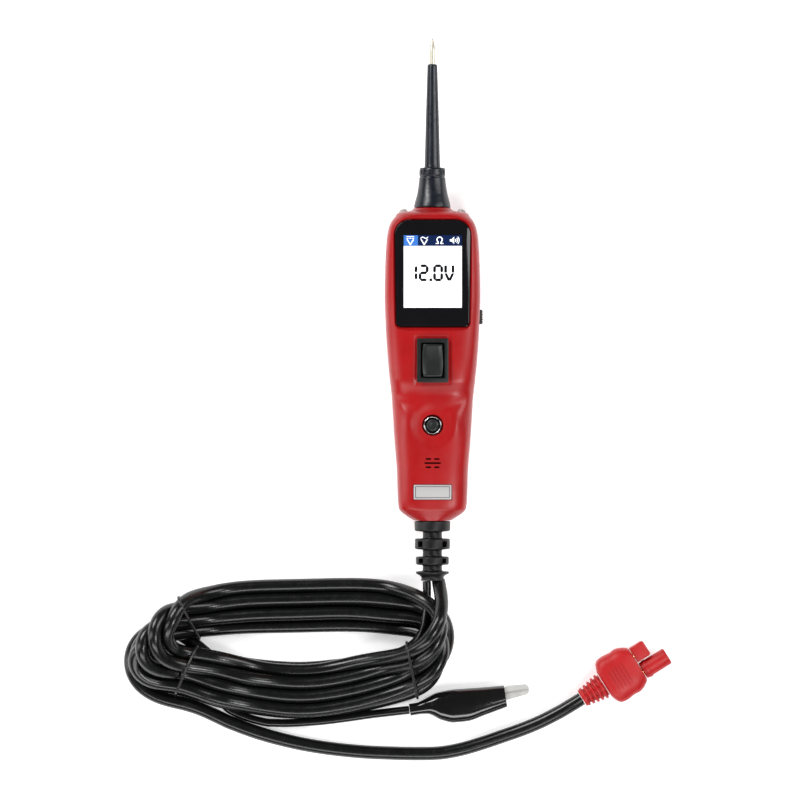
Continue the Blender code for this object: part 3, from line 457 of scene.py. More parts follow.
def relaxed():
    """The two cords where they come to rest on the floor and on each other."""
    cable = spline(cable_plan(), NODE_STEP)
    lead = spline([p[:2] for p in LEAD_IN] + LEAD_PLAN + [p[:2] for p in LEAD_OUT], NODE_STEP)
    ends = [(spline(CABLE_IN[:2], NODE_STEP), spline(CABLE_OUT, NODE_STEP)),
            (spline(LEAD_IN[:2], NODE_STEP), spline(LEAD_OUT, NODE_STEP))]
    level = TURN_LEVEL
    n = len(cable)
    turns = len(TURNS) + 1
    cable_z = np.interp(np.arange(n), [0, n * 0.10, n * 0.80, n],
                        [level * turns, level * turns, level * 0.9, 3.3])
    m = len(lead)
    lead_z = np.interp(np.arange(m), [0, m * 0.16, m * 0.36, m * 0.5, m],
                       [level * (turns - 0.5), level * (turns - 0.6), 2.0, 2.0, 2.0])
    pos = np.concatenate([np.column_stack([cable, cable_z]), np.column_stack([lead, lead_z])])
    radius = np.concatenate([np.full(n, CABLE_D / 2), np.full(m, LEAD_D / 2)])
    plan = pos[:, :2].copy()
    free = np.ones(n + m, bool)
    lift = np.zeros(n + m)
    spans = [(0, n), (n, n + m)]
    for (low, high), (first, last) in zip(spans, ends):
        pos[low:low + len(first), :2] = first[:, :2]
        lift[low:low + len(first)] = pos[low:low + len(first), 2] - first[:, 2]
        pos[low:low + len(first), 2] = first[:, 2]
        pos[high - len(last):high] = last
        free[low:low + len(first)] = False
        free[high - len(last):high] = False
    fixed = pos.copy()
    pos[:, 2] += lift
    index = np.arange(n + m)
    which = (index >= n).astype(int)
    mids = [(np.array(a) + np.array(b)) / 2 for a, b in TIE_SPANS]
    ways = [(np.array(b) - np.array(a)) / np.linalg.norm(np.array(b) - np.array(a)) for a, b in TIE_SPANS]
    reach = [np.linalg.norm(np.array(b) - np.array(a)) / 2 + 4 for a, b in TIE_SPANS]
    rest = np.linalg.norm(np.diff(plan, axis=0), axis=1)
    joined = which[1:] == which[:-1]
    order = pos[:, 2].copy()
    guide = np.zeros(n + m)
    guide[:n] = np.interp(np.arange(n), [0, 6, 12, 20], [17.0, 17.5, 15.5, 0.0])
    guide[n:] = np.interp(np.arange(m), [0, 4, 10, 22], [17.0, 16.4, 12.5, 0.0])
    for step in range(ROUNDS):
        if step % 6 == 0:
            square = (pos**2).sum(axis=1)
            near = square[:, None] + square[None, :] - 2 * pos @ pos.T < NEAR**2
            far_along = (np.abs(index[:, None] - index[None, :]) > 5) | (which[:, None] != which[None, :])
            one, two = np.nonzero(np.triu(near & far_along, 1))
            apart = (radius[one] + radius[two]) * CLEARANCE
            ahead = np.zeros_like(pos)
            ahead[1:-1] = pos[2:] - pos[:-2]
            ahead /= np.maximum(np.linalg.norm(ahead, axis=1), 1e-6)[:, None]
            cross = np.abs((ahead[one] * ahead[two]).sum(axis=1)) < 0.93
            upward = np.sign(order[one] - order[two]) * np.where(cross, 2.5, 0)
        late = step > ROUNDS - 250
        pos[:, 2] -= (0.03 if late else 0.12) * free
        pos[:, :2] += (0.02 if late else 0.04) * (plan - pos[:, :2]) * free[:, None]
        for repeat in range(3):
            gap = pos[one] - pos[two]
            size = np.linalg.norm(gap, axis=1)
            deep = np.maximum(apart - size, 0)
            gap[:, 2] += upward * (deep > 0)
            gap /= np.maximum(np.linalg.norm(gap, axis=1), 1e-6)[:, None]
            share = np.clip(0.5 + 0.45 * gap[:, 2], 0.1, 0.9)  # the upper one gives way
            shift = np.zeros_like(pos)
            count = np.zeros(len(pos))
            np.add.at(shift, one, gap * (deep * share)[:, None])
            np.add.at(shift, two, -gap * (deep * (1 - share))[:, None])
            hit = deep > 0
            np.add.at(count, one[hit], 1)
            np.add.at(count, two[hit], 1)
            pos += shift / np.maximum(count, 1)[:, None] * 1.3 * free[:, None]
        for low, high in spans:
            p = pos[low:high]
            smooth = (-p[:-4] + 4 * p[1:-3] + 4 * p[3:-1] - p[4:]) / 6
            pos[low + 2:high - 2] += 0.30 * (smooth - p[2:-2]) * free[low + 2:high - 2, None]
            for far in (2, 4):
                p = pos[low:high]
                inward = (p[:-2 * far] + p[2 * far:]) / 2 - p[far:-far]
                size = np.linalg.norm(inward, axis=1)
                most = (far * NODE_STEP) ** 2 / 2 / (TIGHTEST * 2 * radius[low])
                over = np.maximum(size - most, 0) / np.maximum(size, 1e-6)
                move = 0.25 * over[:, None] * inward
                shift = np.zeros_like(p)
                shift[far:-far] += move
                shift[:-2 * far] -= move / 2
                shift[2 * far:] -= move / 2
                pos[low:high] += shift * free[low:high, None]
        edge = pos[1:] - pos[:-1]
        size = np.linalg.norm(edge, axis=1)
        pull_in = np.where(joined, 0.2 * (size - rest) / size, 0)[:, None] * edge
        shift = np.zeros_like(pos)
        shift[:-1] += pull_in
        shift[1:] -= pull_in
        pos += shift * free[:, None]
        floor = radius.copy()
        for mid, way, half in zip(mids, ways, reach):
            off = pos[:, :2] - mid
            along = off @ way
            across = off @ np.array([-way[1], way[0]])
            floor += np.where(np.abs(along) < half, TIE_LIFT * np.exp(-(across / 6) ** 2), 0)
        pos[:, 2] = np.where(free, np.maximum(pos[:, 2], np.maximum(floor, guide)), pos[:, 2])
        settle = max(0.0, 1 - step / (ROUNDS * 0.55))
        pos[~free] = fixed[~free]
        pos[:, 2] += np.where(free, 0, lift * settle)
    for low, high in spans:
        for repeat in range(2):
            p = pos[low:high]
            mean = (p[:-2] + 2 * p[1:-1] + p[2:]) / 4
            pos[low + 1:high - 1] = np.where(free[low + 1:high - 1, None], mean, p[1:-1])
        for repeat in range(6):  # an even rise out of the sleeve
            p = pos[low:low + RISE]
            pos[low + 1:low + RISE - 1] = (p[:-2] + 2 * p[1:-1] + p[2:]) / 4
    return pos[:n], pos[n:]


def swept(name, points, radius, sides):
    """A closed tube round a line of points, carried along without twisting.

    Its near end has a slightly raised cap; the cap of its far end sits a step back inside the tube.
    """
    p = np.array(points, float)
    ahead = np.gradient(p, axis=0)
    ahead /= np.linalg.norm(ahead, axis=1)[:, None]
    side = np.cross(ahead[0], (0, 0, 1))
    if np.linalg.norm(side) < 0.1:
        side = np.cross(ahead[0], (0, 1, 0))
    sides_at = []
    for way in ahead:
        side = side - way * (side @ way)
        side /= np.linalg.norm(side)
        sides_at.append(side.copy())
    turns = np.linspace(0, math.tau, sides, endpoint=False)
    loops = []
    for centre, way, across in zip(p, ahead, sides_at):
        up = np.cross(across, way)
        loops.append([centre + radius * (math.cos(a) * across + math.sin(a) * up) for a in turns])
    near_cap = [p[0] - ahead[0] * 0.02 * radius + (corner - p[0]) * 0.8 for corner in loops[0]]
    far_cap = [p[-1] + ahead[-1] * 0.02 * radius + (corner - p[-1]) * 0.8 for corner in loops[-2]]
    return loft(name, [near_cap, *loops, far_cap])


cable_line, lead_line = relaxed()
cable_line = spline(cable_line, 1.6)
lead_line = spline(lead_line, 1.4)


def cord_piece(name, line, diameter, look, sides):
    return piece_of(name, swept(name, line, diameter / 2, sides), look, sharp=60)


cable = cord_piece("supply_cable", cable_line, CABLE_D, JACKET, 24)
lead = cord_piece("ground_lead", lead_line, LEAD_D, LEAD_JACKET, 18)
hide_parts("cable_to_coil", "cable_coil", "cable_to_plug")
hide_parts("lead_to_coil", "lead_to_clip")


# ---------------------------------------------------------------- ties round the coil
TIE_R = 0.7
TIE_STEP = 0.7  # spacing of the points along a tie
# Where each tie runs on the floor plan, from the hole's edge to the coil's outer edge
TIE_LINES = [((-112.4, -130.2), (-121.4, -110.2)), ((-113.0, -135.4), (-125.0, -161.6)),
             ((-12.6, -131.6), (-7.6, -157.4))]


def hull(points):
    """The convex outline of points in a plane."""
    points = sorted(set(map(tuple, np.round(points, 3))))

    def chain(run):
        line = []
        for point in run:
            while len(line) > 1:
                (ax, ay), (bx, by) = line[-2], line[-1]
                if (bx - ax) * (point[1] - ay) - (by - ay) * (point[0] - ax) > 0:
                    break
                line.pop()
            line.append(point)
        return line[:-1]

    return chain(points) + chain(points[::-1])


def strands_at(line, radius, mid, way, half):
    """Where a cord crosses a tie's plane, as places along the span and heights, with the cord's radius."""
    off = line[:, :2] - mid
    across = off @ np.array([-way[1], way[0]])
    along = off @ way
    found = []
    for i in np.nonzero(np.sign(across[1:]) != np.sign(across[:-1]))[0]:
        t = across[i] / (across[i] - across[i + 1])
        at = along[i] * (1 - t) + along[i + 1] * t
        if abs(at) < half:
            found.append((at, line[i, 2] * (1 - t) + line[i + 1, 2] * t, radius))
    return found


def closed_tube(corners, faces, points, normal, radius, sides=12):
    """Adds a closed tube round a loop of points in one plane to lists of corners and faces."""
    p = np.array(points)
    ahead = np.roll(p, -1, axis=0) - np.roll(p, 1, axis=0)
    ahead /= np.linalg.norm(ahead, axis=1)[:, None]
    out = np.cross(ahead, normal)
    base, rows = len(corners), len(p)
    for centre, outward in zip(p, out):
        for a in np.linspace(0, math.tau, sides, endpoint=False):
            corners.append(centre + radius * (math.cos(a) * outward + math.sin(a) * normal))
    for r in range(rows):
        for i in range(sides):
            j, nxt = (i + 1) % sides, (r + 1) % rows
            faces.append((base + r * sides + i, base + r * sides + j, base + nxt * sides + j,
                          base + nxt * sides + i))


for number, (inside, outside) in enumerate(TIE_LINES):
    inside, outside = np.array(inside), np.array(outside)
    mid, way = (inside + outside) / 2, (outside - inside) / np.linalg.norm(outside - inside)
    half = np.linalg.norm(outside - inside) / 2
    strands = strands_at(cable_line, CABLE_D / 2, mid, way, half)
    strands += strands_at(lead_line, LEAD_D / 2, mid, way, half)
    rim = [(at + (r + TIE_R) * math.cos(a), z + (r + TIE_R) * math.sin(a))
           for at, z, r in strands for a in np.linspace(0, math.tau, 24, endpoint=False)]
    outline = np.array(hull(rim))
    outline[:, 1] = np.maximum(outline[:, 1], TIE_R + 0.05)
    run = np.concatenate([[0],
                          np.cumsum(np.linalg.norm(np.diff(outline, axis=0, append=outline[:1]), axis=1))])
    at = np.linspace(0, run[-1], int(run[-1] / TIE_STEP), endpoint=False)
    looped = np.concatenate([outline, outline[:1]])
    ring = np.column_stack([np.interp(at, run, looped[:, k]) for k in range(2)])
    for repeat in range(3):
        ring = (np.roll(ring, 1, axis=0) + 2 * ring + np.roll(ring, -1, axis=0)) / 4
    points = [(*(mid + way * u), z) for u, z in ring]
    corners, faces = [], []
    closed_tube(corners, faces, points, np.array([-way[1], way[0], 0.0]), TIE_R)
    made = piece_of(f"tie_{number + 1}", mesh_of("tie", corners, faces), TIE_WIRE, sharp=60)
    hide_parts(f"coil_tie_{number + 1}")


# ---------------------------------------------------------------- tester housing
AXIS_Z = 16.5
HALF_GAP = 0.15
WALL = 2.0
CAVITY_END = 70.7
BACK_SQUARENESS = 3.6
BODY_SECTIONS = [  # y, half width, back z, face z, squareness of the face
    (75.0, 8.65, 7.85, 25.15, 2.0), (73.8, 10.2, 6.2, 27.2, 2.2), (73.0, 13.5, 4.2, 30.4, 2.8),
    (72.3, 16.8, 2.6, 32.6, 3.6), (70.6, 17.9, 1.2, 34.4, 4.6), (68.6, 19.4, 0.2, 35.2, 5.6),
    (65.5, 20.8, -0.5, 35.6, 6.5), (60.0, 21.8, -0.5, 35.7, 6.5), (48.0, 22.5, -0.5, 35.7, 6.5),
    (33.0, 22.8, -0.5, 35.6, 6.5), (18.0, 22.3, -0.5, 35.4, 6.0), (2.4, 21.3, -0.5, 35.0, 5.5),
    (-7.0, 20.4, -0.5, 34.2, 5.0), (-15.0, 19.5, -0.5, 31.9, 4.2), (-21.0, 19.1, -0.5, 32.1, 4.0),
    (-34.0, 18.3, -0.5, 31.7, 4.0), (-51.0, 17.0, -0.5, 30.6, 4.0), (-63.0, 16.6, -0.5, 29.2, 4.0),
    (-68.6, 16.1, 0.8, 28.2, 3.6), (-70.6, 14.6, 2.6, 27.2, 3.0), (-72.5, 12.0, 4.8, 26.2, 2.6),
    (-74.4, 8.9, 7.6, 25.4, 2.1),
]
ROCKER_Y = 2.0
MODE_Y = -28.8
SIDE_BUTTON = (22.85, 20.5)
SOUNDER_Y = -46.8
PLATE_Y = -60.6
PLATE_TILT = math.radians(6.0)
PLATE_Z = 29.55
LED_TIP = (14.7, 74.4)
LED_ANGLE = math.radians(26)
SCREWS = [(13.8, 13.5), (-13.8, 13.5), (9.4, -59.5), (-9.4, -59.5)]
COLUMNS = 150


def monotone(table, at):
    """The table's columns at other places, on a smooth curve that never overshoots."""
    table = np.array(sorted(table))
    x, y = table[:, 0], table[:, 1:]
    h = np.diff(x)[:, None]
    slope = np.diff(y, axis=0) / h
    same = slope[:-1] * slope[1:] > 0
    w1, w2 = 2 * h[1:] + h[:-1], h[1:] + 2 * h[:-1]
    with np.errstate(divide="ignore", invalid="ignore"):
        inner = np.where(same, (w1 + w2) / (w1 / slope[:-1] + w2 / slope[1:]), 0)
    d = np.concatenate([slope[:1], inner, slope[-1:]])
    k = np.clip(np.searchsorted(x, at) - 1, 0, len(x) - 2)
    t = ((at - x[k]) / h[k, 0])[:, None]
    hh = h[k]
    return ((1 + 2 * t) * (1 - t) ** 2 * y[k] + t * (1 - t) ** 2 * hh * d[k]
            + t**2 * (3 - 2 * t) * y[k + 1] + t**2 * (t - 1) * hh * d[k + 1])


def step_up(value, low, high):
    """0 below `low`, 1 above `high` and a smooth step between."""
    t = np.clip((value - low) / (high - low), 0, 1)
    return t * t * (3 - 2 * t)


def relief(x, y):
    """How far the face stands above its plain section.

    It takes in the waist, the bulges, the button's dish and the rocker's pad.
    """
    across = np.abs(x)
    waist_y = -21.5 + 6.0 * np.clip(across / 18.5, 0, 1) ** 1.4
    waist = -0.75 * np.exp(-((y - waist_y) / 3.2) ** 2) * step_up(across, 3, 13)
    bulge = 0.85 * np.exp(-((across - 13.0) / 5.0) ** 2 - ((y + 25.5) / 6.5) ** 2)
    ring = np.hypot(x, y - MODE_Y)
    dish = -0.70 * (1 - step_up(ring, 6.5, 11.5))
    pad = -0.30 * (1 - step_up(np.maximum(across - 8.4, np.abs(y - ROCKER_Y) - 11.4), -0.2, 0.35))
    return waist + bulge + dish + pad


def half_section(section, y, upper, inset):
    """One row of a cover: its section from the parting plane over to the parting plane, evenly spaced."""
    half, back, face, squareness = section
    a = np.linspace(0, math.pi, 1600)
    power = squareness if upper else BACK_SQUARENESS
    rise = (face - AXIS_Z if upper else AXIS_Z - back) - inset
    x = (half - inset) * np.sign(np.cos(a)) * np.abs(np.cos(a)) ** (2 / power)
    z = rise * np.abs(np.sin(a)) ** (2 / power)
    run = np.concatenate([[0], np.cumsum(np.hypot(np.diff(x), np.diff(z)))])
    at = np.linspace(0, run[-1], COLUMNS)
    x, z = np.interp(at, run, x), np.maximum(np.interp(at, run, z), 0)
    if upper:
        level = step_up(z / rise, 0.80, 0.99)
        z = AXIS_Z + HALF_GAP + z * (rise - HALF_GAP) / rise + relief(x, y) * level
    else:
        z = np.maximum(AXIS_Z - HALF_GAP - z * (rise - HALF_GAP) / rise, inset)
    return np.column_stack([x, np.full(COLUMNS, y), z])


def half_shell(name, upper):
    """One cover as a closed skin: outside, inside and the flat rim between them."""
    fine = np.concatenate([np.linspace(75, 70.7, 22), np.arange(70.0, -68.0, -0.7),
                           np.linspace(-68.2, -70.7, 9), np.linspace(-71.0, -74.4, 14)])
    sections = monotone(BODY_SECTIONS, fine)
    outer = np.array([half_section(s, y, upper, 0) for s, y in zip(sections, fine)])
    inside = [i for i, y in enumerate(fine) if abs(y) <= CAVITY_END + 1e-6]
    inner = np.array([half_section(sections[i], fine[i], upper, WALL) for i in inside])
    rows, first = len(outer), inside[0]
    corners = np.concatenate([outer.reshape(-1, 3), inner.reshape(-1, 3)])

    def out(r, c):
        return r * COLUMNS + c

    def inn(r, c):
        return rows * COLUMNS + (r - first) * COLUMNS + c

    last_c = COLUMNS - 1
    faces = [(out(r, c), out(r, c + 1), out(r + 1, c + 1), out(r + 1, c)) for r in range(rows - 1)
             for c in range(last_c)]
    for r in inside[:-1]:
        faces += [(inn(r, c), inn(r + 1, c), inn(r + 1, c + 1), inn(r, c + 1)) for c in range(last_c)]
        faces.append((out(r, 0), out(r + 1, 0), inn(r + 1, 0), inn(r, 0)))
        faces.append((out(r, last_c), inn(r, last_c), inn(r + 1, last_c), out(r + 1, last_c)))
    for edge, ends in ((0, range(0, first + 1)), (rows - 1, range(inside[-1], rows))):
        faces.append(tuple(out(edge, c) for c in range(COLUMNS)))
        near = inside[0] if edge == 0 else inside[-1]
        faces.append(tuple(inn(near, c) for c in range(COLUMNS)))
        middle = [inn(near, 0), inn(near, last_c)]
        if edge == 0:
            rim = [out(r, 0) for r in ends] + middle + [out(r, last_c) for r in reversed(ends)]
        else:
            rim = [out(r, 0) for r in reversed(ends)] + middle + [out(r, last_c) for r in ends]
        faces.append(tuple(rim))
    return piece_of(name, mesh_of(name, corners, faces), RED_SHELL, smooth=False)


def arc_outline(corners, steps=10):
    """An outline whose corners (x, y, radius) are rounded by arcs."""
    outline = []
    for before, (x, y, radius), after in zip(corners[-1:] + corners[:-1], corners,
                                             corners[1:] + corners[:1]):
        corner = Vector((x, y))
        back, ahead = (Vector(before[:2]) - corner).normalized(), (Vector(after[:2]) - corner).normalized()
        half = back.angle(ahead) / 2
        centre = corner + (back + ahead).normalized() * radius / math.sin(half)
        first = corner + back * radius / math.tan(half) - centre
        sweep = first.angle_signed(corner + ahead * radius / math.tan(half) - centre)
        outline += [tuple(centre + Matrix.Rotation(-sweep * i / steps, 2) @ first)
                    for i in range(steps + 1)]
    return outline


def window_outline(grow):
    """The screen's outline, moved outward by `grow`."""
    top, foot, half, foot_half = 68.6 + grow, 18.0 - grow, 18.0 + grow, 17.2 + grow
    top_r, foot_r = 7.0 + grow, 2.0 + grow
    return arc_outline([(half, top, top_r), (-half, top, top_r), (-foot_half, foot, foot_r),
                        (foot_half, foot, foot_r)])


def box_outline(half_x, half_y, radius=0.3):
    """A rectangle about the origin, with rounded corners."""
    return arc_outline([(half_x, half_y, radius), (-half_x, half_y, radius), (-half_x, -half_y, radius),
                        (half_x, -half_y, radius)], 5)


def stacked(name, levels):
    """A solid through outlines at rising heights."""
    return loft(name, [[(x, y, z) for x, y in outline] for outline, z in levels])


ALONG_Y = Matrix.Rotation(-math.pi / 2, 4, "X")
ALONG_BACK = Matrix.Rotation(math.pi / 2, 4, "X")
led_turns = {side: Matrix.Rotation(-side * LED_ANGLE, 4, "Z") @ ALONG_Y for side in (1, -1)}


def shared_cutters():
    """What both covers give way to: the probe's bore, the strain relief's bore and the headlights' bores."""
    tools = [placed(turned("bore", [(5.6, 0), (5.6, 14)], 64, soften=0), (0, 64, AXIS_Z), ALONG_Y),
             placed(turned("bore", [(6.6, 0), (6.6, 14)], 64, soften=0), (0, -80, AXIS_Z), ALONG_Y)]
    for side in (1, -1):
        bore = turned("bore", [(2.35, -12), (2.35, -1.2), (2.9, 0.4), (2.9, 6)], 40, soften=0)
        tools.append(placed(bore, (side * LED_TIP[0], LED_TIP[1], AXIS_Z), led_turns[side]))
    return tools


front = half_shell("front_shell", True)
tools = shared_cutters()
tools.append(stacked("window", [(window_outline(0.3), 25), (window_outline(0.3), 33.9),
                                (window_outline(1.9), 35.30), (window_outline(2.6), 36.6)]))
tools.append(placed(stacked("rocker", [(box_outline(6.7, 9.7), 25), (box_outline(6.7, 9.7), 45)]),
                    (0, ROCKER_Y, 0)))
tools.append(placed(turned("mode", [(4.65, 25), (4.65, 29.9), (5.2, 31.6), (5.2, 45)], 64, soften=0),
                    (0, MODE_Y, 0)))
tools.append(placed(rounded_box("side", (15, -3.8, -2.5), (30, 3.8, 2.5), 0.5), (0, *SIDE_BUTTON)))
plate_turn = Matrix.Rotation(PLATE_TILT, 4, "X")
pocket_levels = [(box_outline(9.25, 3.8, 0.5), -0.3), (box_outline(9.25, 3.8, 0.5), 0.5),
                 (box_outline(9.6, 4.15, 0.7), 2)]
tools.append(placed(stacked("plate", pocket_levels), (0, PLATE_Y, PLATE_Z - 0.6), plate_turn))
for row, centres in ((1.95, (-2.0, 2.0)), (0, (0,)), (-1.95, (-2.0, 2.0))):
    for x in centres:
        half = 3.95 if row == 0 else 1.3
        slot = stacked("slot", [(box_outline(half, 0.4, 0.35), 25), (box_outline(half, 0.4, 0.35), 40)])
        tools.append(placed(slot, (x, SOUNDER_Y + row, 0)))
cut(front, [joined_mesh("front_tools", tools)])
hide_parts("front_cover")

rear = half_shell("rear_shell", False)
tools = shared_cutters()
tools.append(placed(rounded_box("side", (15, -3.8, -2.5), (30, 3.8, 2.5), 0.5), (0, *SIDE_BUTTON)))
for x, y in SCREWS:
    way = turned("way", [(3.3, -3), (3.3, 0.15), (3.0, 0.5), (3.0, 3.6), (1.7, 3.6), (1.7, 12)], 48,
                 soften=0)
    tools.append(placed(way, (x, y, 0)))
cut(rear, [joined_mesh("rear_tools", tools)])
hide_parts("rear_cover")
posts = [placed(turned("post", [(1.7, 3.6), (3.0, 3.6), (3.0, 2.3), (3.8, 2.0), (3.8, 16.35), (1.7, 16.35)],
                       40, True, 0), (x, y, 0)) for x, y in SCREWS]
post_piece = piece_of("screw_posts", joined_mesh("screw_posts", posts), RED_SHELL)


# ---------------------------------------------------------------- screen
SCREEN_BLACK = finish_of("screen_border", (0.0035, 0.0035, 0.0045), (0.005, 0.005, 0.006), (0.045, 0.075),
                         300, 0.000001)
LCD_WHITE = finish_of("lcd_white", (0.80, 0.81, 0.82), (0.84, 0.85, 0.86), (0.18, 0.24), 1200, 0.000001,
                      Emission_Color=(0.95, 0.97, 1.0, 1.0), Emission_Strength=0.75)
LCD_BLUE = finish_of("lcd_blue", (0.003, 0.010, 0.050), (0.004, 0.013, 0.060), (0.16, 0.22), 1200, 0.000001,
                     Emission_Color=(0.006, 0.018, 0.075, 1.0), Emission_Strength=0.3)
LCD_TAB = finish_of("lcd_tab", (0.03, 0.12, 0.42), (0.04, 0.15, 0.48), (0.16, 0.22), 1200, 0.000001,
                    Emission_Color=(0.05, 0.18, 0.55, 1.0), Emission_Strength=0.4)
LCD_INK = finish_of("lcd_ink", (0.006, 0.006, 0.007), (0.010, 0.010, 0.011), (0.18, 0.24), 1200, 0.000001)

LCD_X, LCD_Y = (-13.9, 14.0), (26.9, 61.6)
LCD_TOP = 34.85
BAR_FOOT = 56.3
glass = piece_of("screen_glass", stacked("screen_glass", [
    (window_outline(0), 33.7), (window_outline(0), 34.9), (window_outline(-0.08), 35.04),
    (window_outline(-0.22), 35.1),
]), SCREEN_BLACK, smooth=False)
opening = [(LCD_X[0], LCD_Y[0]), (LCD_X[1], LCD_Y[0]), (LCD_X[1], LCD_Y[1]), (LCD_X[0], LCD_Y[1])]
cut(glass, [loft("opening", [[(x, y, z) for x, y in opening] for z in (LCD_TOP - 0.45, 40)])])
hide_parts("display_window")


def slab(outline, low, high):
    """A flat plate of one outline between two heights."""
    return loft("slab", [[(x, y, z) for x, y in outline] for z in (low, high)])


def rectangle(x0, y0, x1, y1):
    return [(x0, y0), (x1, y0), (x1, y1), (x0, y1)]


def lcd_piece(name, outlines, look, level):
    """Flat marks of the display, each level just above the one before."""
    low = LCD_TOP - 0.30 + 0.05 * level
    meshes = [slab(outline, low, low + 0.04) for outline in outlines]
    made = piece_of(name, joined_mesh(name, meshes), look, smooth=False)


def stroke(points, width):
    """Outlines of straight marks from point to point."""
    marks = []
    for (ax, ay), (bx, by) in zip(points, points[1:]):
        way = Vector((bx - ax, by - ay)).normalized()
        side = Vector((-way.y, way.x)) * width / 2
        tail, tip = Vector((ax, ay)) - way * width * 0.3, Vector((bx, by)) + way * width * 0.3
        marks.append([tuple(tail + side), tuple(tail - side), tuple(tip - side), tuple(tip + side)])
    return marks


def arc_points(x, y, radius, start, end, count):
    """Points along an arc about x, y, from one angle to another in degrees."""
    turns = [math.radians(start + (end - start) * i / count) for i in range(count + 1)]
    return [(x + radius * math.cos(a), y + radius * math.sin(a)) for a in turns]


slack = 0.12  # gap between the display's field and the sides of its opening
lcd_piece("lcd_field", [rectangle(LCD_X[0] + slack, LCD_Y[0] + slack, LCD_X[1] - slack, BAR_FOOT)],
          LCD_WHITE, 0)
lcd_piece("lcd_bar", [rectangle(LCD_X[0] + slack, BAR_FOOT + 0.02, LCD_X[1] - slack, LCD_Y[1] - slack)],
          LCD_BLUE, 0)
lcd_piece("lcd_tab", [rectangle(LCD_X[0] + slack, BAR_FOOT + 0.1, -7.0, LCD_Y[1] - slack - 0.1)], LCD_TAB,
          1)
icons = []
for centre, roof in ((-10.6, "bars"), (-4.0, "wave")):
    icons += stroke([(centre - 1.45, 59.3), (centre, 57.0), (centre + 1.45, 59.3)], 0.5)
    if roof == "bars":
        icons += stroke([(centre - 1.7, 60.75), (centre + 1.7, 60.75)], 0.32)
        icons += [rectangle(centre - 1.8 + i * 1.35, 59.75, centre - 0.9 + i * 1.35, 60.1)
                  for i in range(3)]
    else:
        icons += stroke([(centre - 1.7, 59.9), (centre - 0.9, 60.6), (centre, 60.2), (centre + 0.9, 59.8),
                         (centre + 1.7, 60.5)], 0.36)
omega = arc_points(3.3, 59.3, 1.25, -52, 232, 14)
icons += stroke([(1.6, 57.5), (2.7, 57.5), *omega[::-1], (3.9, 57.5), (5.0, 57.5)], 0.42)
icons.append([(8.2, 58.5), (9.0, 58.5), (10.2, 57.3), (10.2, 60.7), (9.0, 59.5), (8.2, 59.5)])
for reach in (0.8, 1.6, 2.4):
    icons += stroke(arc_points(10.2, 59.0, reach, -42, 42, 6), 0.3)
lcd_piece("lcd_icons", icons, LCD_WHITE, 2)

DIGIT_W, DIGIT_H, BAR_W = 3.4, 6.7, 1.36
BAR_GAP = 0.03  # from a bar's tip to the corner that it points at
# The lit bars of each figure: A top, B and C upper and lower right, D foot, E and F lower and
# upper left, G middle
SEGMENTS = {"1": "BC", "2": "ABGED", "0": "ABCDEF"}


def bars(figure, x, y):
    """The lit bars of one figure whose lower left corner is at x, y; each bar has bevelled ends."""
    h, w, t, g = DIGIT_H, DIGIT_W, BAR_W / 2, BAR_GAP
    ends = {"A": ((0, h), (w, h)), "B": ((w, h), (w, h / 2)), "C": ((w, h / 2), (w, 0)),
            "D": ((0, 0), (w, 0)), "E": ((0, 0), (0, h / 2)), "F": ((0, h / 2), (0, h)),
            "G": ((0, h / 2), (w, h / 2))}
    marks = []
    for bar in SEGMENTS[figure]:
        (ax, ay), (bx, by) = ends[bar]
        way = Vector((bx - ax, by - ay)).normalized()
        side = Vector((-way.y, way.x)) * t
        tail, tip = Vector((x + ax, y + ay)) + way * g, Vector((x + bx, y + by)) - way * g
        marks.append([tuple(p) for p in (tail, tail + way * t - side, tip - way * t - side, tip,
                                         tip - way * t + side, tail + way * t + side)])
    return marks


READING_Y = 40.2
reading = bars("1", -11.3, READING_Y) + bars("2", -6.0, READING_Y)
reading.append(rectangle(-1.55, READING_Y - 0.65, -0.15, READING_Y + 0.70))
reading += bars("0", 0.9, READING_Y)
V_X, V_HALF = 7.9, 1.75
for side in (-1, 1):
    x = V_X + side * V_HALF
    reading.append(rectangle(x - BAR_W / 2, READING_Y + 3.45, x + BAR_W / 2, READING_Y + 6.85))
    reading.append([(x - BAR_W / 2, READING_Y + 3.15), (x + BAR_W / 2, READING_Y + 3.15),
                    (V_X + side * 0.12 + BAR_W / 2, READING_Y - 0.35),
                    (V_X + side * 0.12 - BAR_W / 2, READING_Y - 0.35)])
lcd_piece("lcd_reading", reading, LCD_INK, 1)


# ---------------------------------------------------------------- rocker switch
ROCKER_PIVOT_Z = 36.0
PADDLE_ROWS = 40
PADDLE_HALF = 7.6
bezel_levels = [(box_outline(6.4, 9.4, 0.6), 22.3), (box_outline(6.4, 9.4, 0.6), 35.45),
                (box_outline(7.5, 10.5, 0.9), 35.45), (box_outline(7.5, 10.5, 0.9), 36.75),
                (box_outline(7.38, 10.38, 0.85), 36.98), (box_outline(7.1, 10.1, 0.8), 37.1)]
bezel = piece_of("rocker_bezel", placed(stacked("bezel", bezel_levels), (0, ROCKER_Y, 0)), SWITCH_PLASTIC,
                 smooth=False)
pocket = stacked("pocket", [(box_outline(5.35, 8.05, 0.5), 30.0), (box_outline(5.35, 8.05, 0.5), 36.55),
                            (box_outline(5.75, 8.45, 0.6), 37.2), (box_outline(5.75, 8.45, 0.6), 40)])
cut(bezel, [placed(pocket, (0, ROCKER_Y, 0))])
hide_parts("rocker_housing")


def paddle_top(v):
    """Height of the paddle's top above its pivot, v along it: high at both ends and hollow between."""
    return 2.25 + 1.25 * (abs(v) / 7.0) ** 1.8 - 0.55 * max(0.0, (abs(v) - 6.7) / 0.9) ** 2


